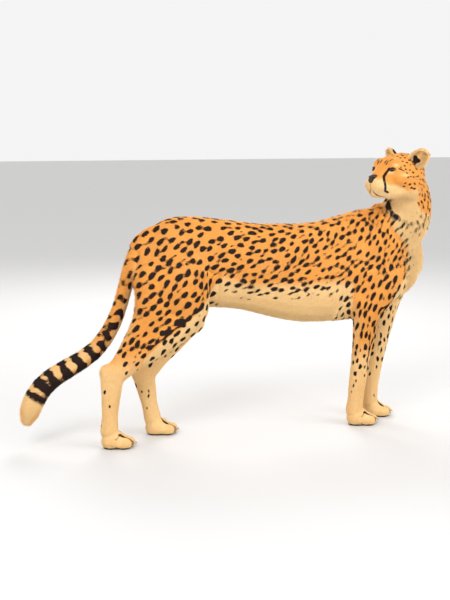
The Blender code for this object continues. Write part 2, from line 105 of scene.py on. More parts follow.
NECK_LINE = line((0.500, 0, 0.660), (0.565, 0, 0.720), (0.612, -0.010, 0.785), (0.617, -0.026, 0.845),
                 (0.592, -0.044, 0.900), (0.566, -0.056, 0.940))
TRUNK_LINE = line((0.668, 0, 0.625), (0.400, 0, 0.590), (0.200, 0, 0.573), (0.000, 0, 0.602),
                  (-0.190, 0, 0.632), (-0.395, 0, 0.655))
TAIL_LINE = line((-0.350, 0, 0.738), (-0.400, 0, 0.706), (-0.432, 0, 0.650), (-0.453, 0.002, 0.590),
                 (-0.478, 0.004, 0.500), (-0.504, 0.006, 0.430), (-0.538, 0.006, 0.372),
                 (-0.583, 0.006, 0.322), (-0.650, 0.004, 0.280), (-0.712, 0.002, 0.248),
                 (-0.762, 0, 0.210), (-0.796, 0, 0.162), (-0.814, 0, 0.116), (-0.826, 0, 0.072))
LEG_LINES = {
    "right_hind": line((-0.315, -0.060, 0.620), (-0.232, -0.082, 0.448), (-0.532, -0.082, 0.252),
                       (-0.547, -0.080, 0.045), (-0.466, -0.080, 0.005)),
    "left_hind": line((-0.315, 0.060, 0.620), (-0.202, 0.074, 0.432), (-0.392, 0.052, 0.216),
                      (-0.360, 0.046, 0.045), (-0.279, 0.046, 0.005)),
    "right_fore": line((0.460, -0.050, 0.735), (0.540, -0.066, 0.560), (0.436, -0.078, 0.440),
                       (0.410, -0.060, 0.150), (0.404, -0.050, 0.040), (0.485, -0.050, 0.005)),
    "left_fore": line((0.486, 0.050, 0.735), (0.602, 0.062, 0.560), (0.582, 0.068, 0.430),
                      (0.520, 0.052, 0.150), (0.509, 0.046, 0.040), (0.590, 0.046, 0.005)),
}
# Ankles, from which the paws are measured.
ANKLES = {"right_hind": (-0.547, -0.080), "left_hind": (-0.360, 0.046),
          "right_fore": (0.404, -0.050), "left_fore": (0.509, 0.046)}


def unit(vectors):
    return vectors / np.maximum(np.linalg.norm(vectors, axis=-1, keepdims=True), 1e-9)


def ramp(values, low, high):
    """0 up to low, 1 from high on, and a soft step between."""
    t = np.clip((values - low) / (high - low), 0, 1)
    return t * t * (3 - 2 * t)


def follow(points, middle):
    """For each point: metres along the line, its foot on the line, the line's direction there."""
    best = np.full(len(points), 9.0)
    travelled = np.zeros(len(points))
    foot = np.zeros((len(points), 3))
    heading = np.zeros((len(points), 3))
    start = 0.0
    for a, b in zip(middle[:-1], middle[1:]):
        run = np.linalg.norm(b - a)
        share = np.clip((points - a) @ (b - a) / run ** 2, 0, 1)
        spot = a + share[:, None] * (b - a)
        gap = np.linalg.norm(points - spot, axis=1)
        closer = gap < best
        best[closer] = gap[closer]
        travelled[closer] = start + share[closer] * run
        foot[closer] = spot[closer]
        heading[closer] = (b - a) / run
        start += run
    return travelled, foot, heading, best


def on_head(points):
    """The points on the head's own axes."""
    inverse = np.array(HEAD.inverted())
    return points @ inverse[:3, :3].T + inverse[:3, 3]


TAIL_LENGTH = float(np.sum(np.linalg.norm(np.diff(TAIL_LINE, axis=0), axis=1)))
print("tail: %.2f m along its middle" % TAIL_LENGTH)

# %% Which part of the body a point belongs to
PARTS = ("trunk", "neck", "head", "ear_right", "ear_left", "tail",
         "right_hind", "left_hind", "right_fore", "left_fore")
EAR_CENTRE, EAR_HALF = (-0.030, 0.053, 0.048), (0.018, 0.032, 0.040)
EAR_SPREAD, EAR_FACING = 34.0, 34.0
SKULL_BASE = ((0.612, -0.040, 0.893), (-0.50, -0.12, 0.86))
NECK_BASE = ((0.600, 0.0, 0.735), (0.45, 0.0, 0.89))
LEG_ROOTS = {"right_hind": (0.450, 0.700, -0.640, -0.130), "left_hind": (0.450, 0.700, -0.640, -0.105),
             "right_fore": (0.405, 0.650, 0.325, 0.600), "left_fore": (0.405, 0.650, 0.430, 0.682)}


def beyond(points, plane):
    """How far the points lie in front of a plane given on the body's lines."""
    spot, normal = (np.array(value) for value in plane)
    return (points - np.array(SHIFT) - spot) @ (normal / np.linalg.norm(normal))


def on_ear(points, side):
    """The points on one ear's own axes: ahead out of its cup, across, up."""
    place = (HEAD @ Matrix.Translation((EAR_CENTRE[0], EAR_CENTRE[1] * side, EAR_CENTRE[2]))
             @ Matrix.Rotation(math.radians(-EAR_SPREAD * side), 4, "X")
             @ Matrix.Rotation(math.radians(EAR_FACING * side), 4, "Z"))
    inverse = np.array(place.inverted())
    return points @ inverse[:3, :3].T + inverse[:3, 3], np.array(place.to_3x3()) / HEAD_SCALE


def part_of(points):
    """The number in PARTS of the body part that each point belongs to."""
    here = points - np.array(SHIFT)
    owner = np.zeros(len(points), dtype=int)
    above_neck = beyond(points, NECK_BASE) > 0
    owner[above_neck] = PARTS.index("neck")
    owner[above_neck & (beyond(points, SKULL_BASE) > 0)] = PARTS.index("head")
    for name, side in SIDES.items():
        local, axes = on_ear(points, side)
        inside = np.sum((local / np.array(EAR_HALF)) ** 2, axis=1) < 1.12 ** 2
        owner[inside & (on_head(points)[:, 2] > 0.020)] = PARTS.index("ear_" + name)
    for name, (crotch, hip, back, front) in LEG_ROOTS.items():
        side = SIDES[name.split("_")[0]]
        outwards = here[:, 1] * side
        lower = here[:, 2] < crotch + (outwards - 0.012) * (hip - crotch) / 0.106
        ours = (outwards > 0) & lower & (here[:, 0] > back) & (here[:, 0] < front) & (owner == 0)
        owner[ours] = PARTS.index(name)
    travelled, foot, heading, gap = follow(points, TAIL_LINE)
    owner[(gap < 0.047) & (travelled > 0.09) & (here[:, 0] < -0.395) & (np.abs(here[:, 1]) < 0.048)
          & ((travelled > 0.30) | (np.abs(here[:, 1]) < 0.036))] = PARTS.index("tail")
    return owner


# %% [markdown]
# ## One skin over the flesh
# A real animal has no seams between leg and trunk. Copies of the flesh solids are joined,
# swollen by a hair so that the thin cuts between them close, and melted into one skin
# with a voxel remesh. The lids start as two balls just larger than the eyes. The skin is
# then softened, drawn in by the depth of the coat, and thinned where it is plain, so that
# its triangles are kept for the face, ears and paws.

# %% Helpers for working as by hand
def nothing_selected():
    if bpy.context.object and bpy.context.object.mode != "OBJECT":
        bpy.ops.object.mode_set(mode="OBJECT")
    bpy.ops.object.select_all(action="DESELECT")


def pick(*objects):
    """Selects these objects; the last one is active."""
    nothing_selected()
    for obj in objects:
        obj.select_set(True)
    bpy.context.view_layer.objects.active = objects[-1]


def apply_modifier(obj, name, kind, **settings):
    pick(obj)
    made = obj.modifiers.new(name, kind)
    for key, value in settings.items():
        setattr(made, key, value)
    bpy.ops.object.modifier_apply(modifier=name)


def copy_of(node):
    """A new object with its own copy of a CAD node's mesh, welded."""
    obj = bpy.data.objects.new("copy_" + node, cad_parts[node].data.copy())
    obj.data.materials.clear()
    bpy.context.scene.collection.objects.link(obj)
    pick(obj)
    bpy.ops.object.mode_set(mode="EDIT")
    bpy.ops.mesh.select_all(action="SELECT")
    bpy.ops.mesh.remove_doubles(threshold=0.00001)
    bpy.ops.object.mode_set(mode="OBJECT")
    return obj


def points_of(obj):
    values = np.empty(len(obj.data.vertices) * 3)
    obj.data.vertices.foreach_get("co", values)
    return values.reshape(-1, 3)


def normals_of(obj):
    values = np.empty(len(obj.data.vertices) * 3)
    obj.data.vertices.foreach_get("normal", values)
    return values.reshape(-1, 3)


def move_points(obj, points):
    obj.data.vertices.foreach_set("co", points.ravel())
    obj.data.update()


def set_group(obj, name, weights):
    """A vertex group with these weights, set in steps so that it takes few calls."""
    group = obj.vertex_groups.new(name=name)
    steps = np.round(np.clip(weights, 0, 1) * 20).astype(int)
    for step in np.unique(steps):
        group.add(np.flatnonzero(steps == step).tolist(), step / 20, "REPLACE")
    return name


# %% Melt the flesh into one skin
LEG_NODES = [name + piece for name in LEG_LINES
             for piece in (("_thigh", "_shank", "_paw") if "hind" in name
                           else ("_upper_arm", "_forearm", "_paw"))]
FLESH = ["head", "neck", "trunk", "ear_right", "ear_left", "tail_root", "tail_middle", "tail_tip",
         *LEG_NODES]
SKIN_GRAIN = 0.003
LID_THICKNESS = 0.0024

nothing_selected()
flesh = [copy_of(node) for node in FLESH]
pick(*flesh)
bpy.ops.object.join()
skin = bpy.context.object
skin.name = skin.data.name = "skin"
apply_modifier(skin, "close cuts", "DISPLACE", strength=0.0007, mid_level=0.0)
lids = []
for name in SIDES:
    bpy.ops.mesh.primitive_uv_sphere_add(segments=40, ring_count=20, radius=EYE_RADIUS + LID_THICKNESS,
                                         location=middle_of("eye_" + name))
    lids.append(bpy.context.object)
pick(*lids, skin)
bpy.ops.object.join()
apply_modifier(skin, "melt", "REMESH", mode="VOXEL", voxel_size=SKIN_GRAIN)
print("skin as melted:", len(skin.data.polygons), "faces")

# %% Soften it, most where muscles flow into each other
points = points_of(skin)
place = on_head(points)
from_eyes = np.minimum(*[np.linalg.norm(points - np.array(middle_of("eye_" + name)), axis=1)
                         for name in SIDES])
owner = part_of(points)
ears = (owner == PARTS.index("ear_right")) | (owner == PARTS.index("ear_left"))
on_skull = ramp(beyond(points, SKULL_BASE), -0.02, 0.02)
near_floor = 1 - ramp(points[:, 2], 0.06, 0.13)
flowing = (1 - 0.72 * on_skull) * (1 - 0.80 * near_floor) * ramp(from_eyes, 0.020, 0.040)
flowing = np.where(ears, 0.12, np.maximum(flowing, 0.06))
apply_modifier(skin, "soften", "SMOOTH", factor=0.5, iterations=44,
               vertex_group=set_group(skin, "flowing", flowing))
skin.vertex_groups.clear()
# The hip runs on into the root of the tail in one curve.
points = points_of(skin)
croup = np.linalg.norm((points - np.array(SHIFT) - np.array((-0.330, 0, 0.780))) / (0.110, 0.120, 0.070), axis=1)
apply_modifier(skin, "soften hip", "SMOOTH", factor=0.5, iterations=240,
               vertex_group=set_group(skin, "croup", np.exp(-croup ** 4)))
skin.vertex_groups.clear()
print("softened; area %.2f m2" % sum(face.area for face in skin.data.polygons))


# %% How deep the coat is
def coat_depth(points, normals, owner):
    """Metres between the skin and the tips of the coat."""
    here = points - np.array(SHIFT)
    local = on_head(points)
    depth = np.full(len(points), 0.0050)
    belly = ramp(-normals[:, 2], 0.2, 0.9) * (owner == 0)
    depth += 0.0030 * belly
    neck = owner == PARTS.index("neck")
    depth[neck] = 0.0060
    skull = ramp(beyond(points, SKULL_BASE), -0.04, 0.04)
    face = ramp(local[:, 0], 0.0, 0.070)
    on_face = 0.0045 * (1 - face) + 0.0016 * face
    depth = depth * (1 - skull) + on_face * skull
    depth[(owner == 3) | (owner == 4)] = 0.0018
    tail = owner == PARTS.index("tail")
    depth[tail] = 0.0070
    leg = ramp(-here[:, 2], -0.42, -0.12)
    on_leg = owner >= 6
    depth[on_leg] = (0.0050 - 0.0024 * leg)[on_leg]
    paw = 1 - ramp(here[:, 2], 0.045, 0.10)
    depth = np.where(on_leg, depth * (1 - paw) + 0.0014 * paw, depth)
    return depth


points, normals = points_of(skin), normals_of(skin)
depth = coat_depth(points, normals, part_of(points))
on_sole = 1 - ramp(points[:, 2], 0.001, 0.004)
eye_gap = np.minimum(*[np.linalg.norm(points - np.array(middle_of("eye_" + name)), axis=1)
                       for name in SIDES])
depth *= (1 - on_sole) * ramp(eye_gap, EYE_RADIUS + 0.003, EYE_RADIUS + 0.012)
move_points(skin, points - normals * depth[:, None])
print("coat depth: %.1f to %.1f mm" % (depth.min() * 1000, depth.max() * 1000))

# %% Keep small triangles only for face, ears and paws
points = points_of(skin)
owner = part_of(points)
local = on_head(points)
fine = 0.15 * ramp(beyond(points, SKULL_BASE), -0.03, 0.01) + 0.85 * ramp(local[:, 0], -0.01, 0.03) * (
    owner == PARTS.index("head"))
fine = np.maximum(fine, (owner == 3) | (owner == 4))
fine = np.maximum(fine, 0.7 * (1 - ramp(points[:, 2], 0.07, 0.10)))
SKIN_FACES = 104000
LONGEST_EDGE = 0.0108
apply_modifier(skin, "thin", "DECIMATE", ratio=SKIN_FACES / (2 * len(skin.data.polygons)),
               vertex_group=set_group(skin, "plain", 0.80 - 0.50 * fine), vertex_group_factor=1.0)
skin.vertex_groups.clear()
edit = bmesh.new()
edit.from_mesh(skin.data)
for sweep in range(3):
    long_edges = [edge for edge in edit.edges if edge.calc_length() > LONGEST_EDGE]
    bmesh.ops.subdivide_edges(edit, edges=long_edges, cuts=1)
    bmesh.ops.triangulate(edit, faces=[face for face in edit.faces if len(face.verts) > 3])
edit.to_mesh(skin.data)
edit.free()
apply_modifier(skin, "relax", "SMOOTH", factor=0.5, iterations=2)
print("skin thinned to", len(skin.data.polygons), "triangles")

# %% [markdown]
# ## The face, in clay
# The skin of the face is a thin one, so bone and muscle show: the brow, the pads that
# hold the whiskers, the line of the mouth and the groove under the nose. They are moved
# in code, as a sculptor pushes clay: each form has a place on the head's own axes, a
# reach and a height, and fades out softly. The triangles of the face are split once
# more first, so that the small forms have something to bend.

# %% Split the triangles of the face
def split_faces(obj, chosen):
    """Splits every edge of the faces for which chosen(points) is true."""
    edit = bmesh.new()
    edit.from_mesh(obj.data)
    edit.verts.ensure_lookup_table()
    inside = chosen(np.array([vert.co for vert in edit.verts]))
    edges = [edge for edge in edit.edges
             if inside[edge.verts[0].index] and inside[edge.verts[1].index] and edge.calc_length() > 0.0013]
    bmesh.ops.subdivide_edges(edit, edges=edges, cuts=1, use_grid_fill=True, smooth=0.3)
    bmesh.ops.triangulate(edit, faces=[face for face in edit.faces if len(face.verts) > 3])
    edit.to_mesh(obj.data)
    edit.free()


def is_face(points):
    local = on_head(points)
    about_eye = np.linalg.norm(np.abs(local) - (0.066, 0.038, 0.012), axis=1) < 0.030
    muzzle = (local[:, 0] > 0.066) & (local[:, 2] < 0.004)
    return (part_of(points) == PARTS.index("head")) & (about_eye | muzzle)


split_faces(skin, is_face)
print("skin with a fine face:", len(skin.data.polygons), "triangles")


# %% Push the forms of the face
def hill(local, centre, reach, height, mirror=True):
    """How far a soft hill of this reach (forward, left, up) lifts the points."""
    y = np.abs(local[:, 1]) if mirror else local[:, 1]
    away = ((local[:, 0] - centre[0]) / reach[0]) ** 2 + ((y - centre[1]) / reach[1]) ** 2
    away += ((local[:, 2] - centre[2]) / reach[2]) ** 2
    return height * np.exp(-1.5 * away)


def near_path(local, path, mirror=True):
    """Distance to a path on the head, and how far along it (0 to 1)."""
    spots = local.copy()
    if mirror:
        spots[:, 1] = np.abs(spots[:, 1])
    travelled, foot, heading, gap = follow(spots, np.array(path))
    return gap, travelled / max(travelled.max(), 1e-9)


def on_surface(obj, path):
    """The path's places on the head, moved forwards or back onto the surface."""
    local = on_head(points_of(obj))
    found = []
    for x, y, z in path:
        off = np.hypot(local[:, 1] - y, local[:, 2] - z) + 0.15 * np.abs(local[:, 0] - x)
        found.append((local[np.argmin(off), 0], y, z))
    return found


MOUTH = on_surface(skin, [(0.125, 0.000, -0.0560), (0.122, 0.0056, -0.0605), (0.115, 0.0100, -0.0675),
                          (0.108, 0.0140, -0.0735), (0.100, 0.0200, -0.0765), (0.090, 0.0270, -0.0770)])
LIP_CORNER = on_surface(skin, [(0.090, 0.0270, -0.0770), (0.080, 0.0340, -0.0740), (0.070, 0.0390, -0.0680)])
PHILTRUM = on_surface(skin, [(0.130, 0.0, -0.0400), (0.128, 0.0, -0.0480), (0.125, 0.0, -0.0560)])
FACE_HILLS = {
    "brow": ((0.064, 0.031, 0.030), (0.022, 0.016, 0.008), 0.0016),
    "hollow before the eye": ((0.088, 0.022, 0.008), (0.014, 0.008, 0.012), -0.0022),
    "hollow behind the eye": ((0.030, 0.052, 0.022), (0.018, 0.012, 0.012), -0.0020),
    "cheekbone": ((0.052, 0.046, -0.012), (0.022, 0.012, 0.008), 0.0015),
    "fold over the cheek": ((0.078, 0.040, -0.022), (0.012, 0.012, 0.014), -0.0016),
    "whisker pad": ((0.112, 0.016, -0.047), (0.018, 0.012, 0.013), 0.0036),
    "back of the pad": ((0.094, 0.030, -0.052), (0.014, 0.010, 0.014), 0.0018),
    "chin": ((0.110, 0.000, -0.080), (0.014, 0.013, 0.012), 0.0030),
    "side of the nose": ((0.112, 0.013, -0.010), (0.018, 0.007, 0.010), -0.0012),
    "forehead furrow": ((0.060, 0.000, 0.048), (0.026, 0.006, 0.016), -0.0014),
}
points, normals = points_of(skin), normals_of(skin)
local = on_head(points)
lift = np.zeros(len(points))
for centre, reach, height in FACE_HILLS.values():
    lift += hill(local, centre, reach, height)
mouth_gap, mouth_share = near_path(local, MOUTH + LIP_CORNER[1:])
lip_line = np.exp(-(mouth_gap / 0.0023) ** 2) * (1 - 0.5 * ramp(mouth_share, 0.75, 1.0))
lift -= 0.0042 * lip_line
lift += 0.0012 * np.exp(-((mouth_gap - 0.0048) / 0.0026) ** 2)
philtrum_gap, philtrum_share = near_path(local, PHILTRUM)
lift -= 0.0030 * np.exp(-(philtrum_gap / 0.0016) ** 2)
front = ramp(beyond(points, SKULL_BASE), 0.0, 0.02)
# The front of the chest is flatter than the solid.
chest_away = np.linalg.norm((points - np.array(SHIFT) - np.array((0.655, -0.005, 0.628))) / (0.075, 0.085, 0.062), axis=1)
lift = lift * front - 0.011 * np.exp(-chest_away ** 2)
move_points(skin, points + normals * lift[:, None])
print("mouth line pressed in by up to %.1f mm" % (-lift.min() * 1000))

# %% [markdown]
# ## Lids
# The animal looks with half-closed eyes. An almond is opened in the lid over each
# eyeball: the faces inside it go, its rim is moved onto the almond's outline, and the rim
# is drawn inwards twice, which gives the lid an edge as thick as a real one and closes the
# pocket behind the eyeball.

# %% Open the lids
GAZE = (0.80, 0.58, 0.06)               # where the left eye opening faces, on the head's axes
LID_HALF_WIDTH, UPPER_LID, LOWER_LID = 0.0134, 0.0032, 0.0024
LID_TILT = 14.0                         # degrees that the outer corner is higher


def eye_axes(side):
    """Outwards, towards the nose, and up, in the frame's directions, for one eye."""
    turn = np.array(HEAD.to_3x3()) / HEAD_SCALE
    out = unit(turn @ np.array((GAZE[0], GAZE[1] * side, GAZE[2])))
    inner = turn @ np.array((0.58, -0.80 * side, 0.0))
    inner = unit(inner - out * (inner @ out))
    up = np.cross(out, inner)
    up = up if up[2] > 0 else -up
    slope = math.radians(LID_TILT)
    return out, unit(inner * math.cos(slope) - up * math.sin(slope)), unit(
        up * math.cos(slope) + inner * math.sin(slope))


def almond(inwards, raised):
    """Under 1 inside the opening of the lids, 1 on its outline. Both in metres."""
    across = np.clip(np.abs(inwards) / LID_HALF_WIDTH, 0, 0.999)
    arch = np.where(raised > 0, UPPER_LID * (1 - across ** 2.4), LOWER_LID * (1 - across ** 2.0))
    return np.abs(raised) / np.maximum(arch, 0.00005) + (np.abs(inwards) > LID_HALF_WIDTH) * 9


def open_lids(obj, name, side):
    centre = np.array(middle_of("eye_" + name))
    out, inner, up = eye_axes(side)
    edit = bmesh.new()
    edit.from_mesh(obj.data)
    near = [face for face in edit.faces
            if (face.calc_center_median() - Vector(centre)).length < EYE_RADIUS + 0.012]
    spots = np.array([face.calc_center_median() for face in near]) - centre
    facing = spots @ out > EYE_RADIUS * 0.45
    inside = (almond(spots @ inner, spots @ up) < 1) & facing
    bmesh.ops.delete(edit, geom=[face for face, gone in zip(near, inside) if gone], context="FACES")
    rim = [edge for edge in edit.edges if edge.is_boundary]
    for vert in {vert for edge in rim for vert in edge.verts}:
        spot = np.array(vert.co) - centre
        a, b, depth = spot @ inner, spot @ up, spot @ out
        a = np.clip(a, -LID_HALF_WIDTH, LID_HALF_WIDTH)
        across = abs(a) / LID_HALF_WIDTH
        b = UPPER_LID * (1 - across ** 2.4) if b > 0 else -LOWER_LID * (1 - across ** 2.0)
        reach = EYE_RADIUS + LID_THICKNESS * 0.75
        depth = math.sqrt(max(reach ** 2 - a * a - b * b, 0))
        vert.co = Vector(centre + inner * a + up * b + out * depth)
    for shrink, slip in ((0.93, 0.0), (0.80, 0.0), (0.30, 0.0)):
        made = bmesh.ops.extrude_edge_only(edit, edges=rim)["geom"]
        verts = [item for item in made if isinstance(item, bmesh.types.BMVert)]
        rim = [item for item in made if isinstance(item, bmesh.types.BMEdge) and item.is_boundary]
        for vert in verts:
            vert.co = Vector(centre) + (vert.co - Vector(centre)) * shrink
    bmesh.ops.holes_fill(edit, edges=rim, sides=0)
    bmesh.ops.triangulate(edit, faces=[face for face in edit.faces if len(face.verts) > 3])
    bmesh.ops.recalc_face_normals(edit, faces=edit.faces)
    edit.to_mesh(obj.data)
    edit.free()


for name, side in SIDES.items():
    open_lids(skin, name, side)
# The tips of the ears reach back and outwards.
points = points_of(skin)
owner = part_of(points)
for name, side in SIDES.items():
    ours = owner == PARTS.index("ear_" + name)
    spots, axes = on_ear(points[ours], side)
    away = np.array(HEAD.to_3x3()) / HEAD_SCALE @ np.array((-0.77, 0.64 * side, 0.05))
    points[ours] += np.outer(0.009 * ramp(spots[:, 2], -0.008, 0.034), away)
move_points(skin, points)
points, normals = points_of(skin), normals_of(skin)
lift = np.zeros(len(points))
for name, side in SIDES.items():
    spots = points - np.array(middle_of("eye_" + name))
    out, inner, up = eye_axes(side)
    a, b, depth = spots @ inner, spots @ up, spots @ out
    over = (depth > 0) & (np.linalg.norm(spots, axis=1) < EYE_RADIUS + 0.012)
    outline = almond(a * 0.86, b * 1.0)
    crease = np.exp(-((b - UPPER_LID - 0.0050 + 14 * a ** 2) / 0.0012) ** 2) * ramp(-np.abs(a), -0.015, -0.008)
    bag = np.exp(-((b + LOWER_LID + 0.0045 - 14 * a ** 2) / 0.0014) ** 2) * ramp(-np.abs(a), -0.013, -0.006)
    lift -= over * (0.0012 * crease + 0.0007 * bag)
move_points(skin, points + normals * lift[:, None])
print("lids open: %.0f by %.0f mm" % (2000 * LID_HALF_WIDTH, 1000 * (UPPER_LID + LOWER_LID)))

# %% [markdown]
# ## Toes
# A cheetah's paw is narrow, with four long toes whose claws stay out. The furrows
# between the toes are pressed into the skin from above and from the front, and later get
# painted shade: dark lines along them.

# %% Press the furrows between the toes
TOE_GAPS = (-0.0212, 0.0, 0.0212)
TOES = (-0.0318, -0.0106, 0.0106, 0.0318)


def fan(places, ahead):
    """Toes spread: where lines that start at these places lie, further ahead."""
    return np.array(places)[:, None] * (0.80 + 3.0 * np.clip(ahead, 0, 0.09))


points, normals = points_of(skin), normals_of(skin)
shape = np.zeros(len(points))
for x, y in ANKLES.values():
    ahead = points[:, 0] - SHIFT.x - x
    across = points[:, 1] - SHIFT.y - y
    ours = (np.abs(across) < 0.060) & (ahead > -0.05) & (ahead < 0.13) & (points[:, 2] < 0.075)
    furrow = np.exp(-(np.abs(across - fan(TOE_GAPS, ahead)).min(axis=0) / 0.0030) ** 2) * ramp(ahead, 0.022, 0.050)
    toe = np.exp(-(np.abs(across - fan(TOES, ahead)).min(axis=0) / 0.0080) ** 2)
    knuckle = toe * (np.exp(-((ahead - 0.058) / 0.013) ** 2) + 0.7 * np.exp(-((ahead - 0.092) / 0.010) ** 2))
    crease = np.exp(-((ahead - 0.076 + 0.25 * (points[:, 2] - 0.03)) / 0.005) ** 2) * toe
    shape += ours * (0.0022 * knuckle - 0.0052 * furrow - 0.0012 * crease)
shape *= ramp(points[:, 2], 0.001, 0.006)
move_points(skin, points + normals * shape[:, None])
skin.data.shade_smooth()
print("toes parted; skin:", len(skin.data.polygons), "triangles")

# %% [markdown]
# ## The lie of the coat
# Hair grows from the nose backwards, down the neck, along the back, out along the tail
# and down the legs to the toes. At every place the direction is the mean of the middle
# lines nearby, the nearest by far the most, flattened onto the skin.

# %% Directions of the hair
CHEST_LINE = line((0.640, -0.020, 0.800), (0.680, 0, 0.680), (0.660, 0, 0.560), (0.560, 0, 0.470),
                  (0.450, 0, 0.430))
HAIR_LINES = {"neck": NECK_LINE[::-1], "trunk": TRUNK_LINE, "tail": TAIL_LINE, "chest": CHEST_LINE,
              **LEG_LINES}


def flat_on(normals, vectors):
    """The vectors laid flat on the skin, of length one."""
    return unit(vectors - normals * np.sum(normals * vectors, axis=1)[:, None])


def lie_of(points, normals, owner):
    """The direction in which hair lies at each point."""
    flow = np.zeros((len(points), 3))
    for name, middle in HAIR_LINES.items():
        travelled, foot, heading, gap = follow(points, middle)
        weight = 1 / (gap + 0.015) ** 4
        if name in LEG_LINES:
            weight *= np.where(owner == PARTS.index(name), 3.0, 0.15)
        if name == "tail":
            weight *= np.where(owner == PARTS.index("tail"), 30.0, 0.05)
        if name == "chest":
            weight *= 0.5
        flow += heading * weight[:, None]
    flow += np.array((-1.0, 0.0, -0.2)) * (9000.0 * (owner == 0))[:, None]
    flow = unit(flow)
    axes = np.array(HEAD.to_3x3()) / HEAD_SCALE
    local = on_head(points)
    from_nose = unit(local - np.array((0.135, 0, -0.020)))
    swept = np.stack([-0.9 + 0 * local[:, 0], 0.5 * local[:, 1] / 0.05,
                      np.where(local[:, 2] > 0.02, 0.25, -0.30)], axis=1)
    on_skull = unit(0.8 * from_nose + 0.6 * unit(swept)) @ axes.T
    share = ramp(beyond(points, SKULL_BASE), -0.035, 0.02)[:, None]
    flow = flow * (1 - share) + on_skull * share
    for name, side in SIDES.items():
        ours = owner == PARTS.index("ear_" + name)
        if ours.any():
            spots, ear_axes = on_ear(points[ours], side)
            ahead = normals[ours] @ ear_axes[:, 0]
            spread = np.sign(spots[:, 1]) * np.clip(ahead, 0, 1) * 0.6
            flow[ours] = (np.stack([0 * spread + 0.15 * np.clip(ahead, 0, 1), spread, 1 + 0 * spread], axis=1)
                          @ ear_axes.T)
    return flat_on(normals, flow)


# %% [markdown]
# ## Markings
# Both the skin and every tuft of the coat ask the same functions for their colour, so
# the markings run through the coat without a picture. A first function gives the ground
# colour, from orange (0) to cream (1). A second gives the distance to the nearest edge of
# a dark mark in millimetres, above zero inside it; besides spots and other markings, these
# dark marks hold painted shade in folds, between the toes and in the ears. Spots are scattered
# with a seed, with the size, spacing and slant that they have on each part of this animal.

# %% The ground colour: orange above, cream below
def step_line(x, knots):
    xs, zs = zip(*sorted(knots))
    return np.interp(x, xs, zs)


FLANK_EDGE = [(-0.46, 0.530), (-0.19, 0.540), (-0.120, 0.590), (-0.022, 0.556), (0.163, 0.550), (0.317, 0.556),
              (0.45, 0.540), (0.56, 0.500)]
HIND_EDGE = [(0.300, -0.430), (0.368, -0.362), (0.415, -0.290), (0.469, -0.228), (0.514, -0.189), (0.600, -0.115)]
# Height, and how far across the chest: the border of the cream chest, and of the orange nape.
ACROSS = (0.958, 0.287)
LEFT_STRIDE = [(0.430, 0.110), (0.560, 0.060), (0.700, 0.020), (0.760, 0.0)]
CHEST_EDGE = [(0.400, 0.500), (0.473, 0.534), (0.516, 0.549), (0.564, 0.586), (0.648, 0.595), (0.696, 0.571),
              (0.736, 0.536), (0.760, 0.530), (0.791, 0.518), (0.823, 0.500), (0.850, 0.480)]
NAPE_EDGE = [(0.770, 0.720), (0.793, 0.654), (0.817, 0.628), (0.843, 0.622), (0.882, 0.620), (0.930, 0.612)]
THROAT_SIDE = (-0.283, -0.945, 0.163)   # the throat looks this way, over the right shoulder
FACE_EDGE = [(-0.060, -0.095), (-0.003, -0.057), (0.030, -0.042), (0.0465, -0.036), (0.080, -0.036),
             (0.092, -0.030), (0.100, -0.018), (0.130, -0.020)]


def across_chest(here):
    """How far ahead round the chest; the left shoulder stands further forward."""
    stride = step_line(here[:, 2], LEFT_STRIDE) * ramp(here[:, 1], 0.0, 0.03)
    return ACROSS[0] * here[:, 0] + ACROSS[1] * np.abs(here[:, 1]) - stride


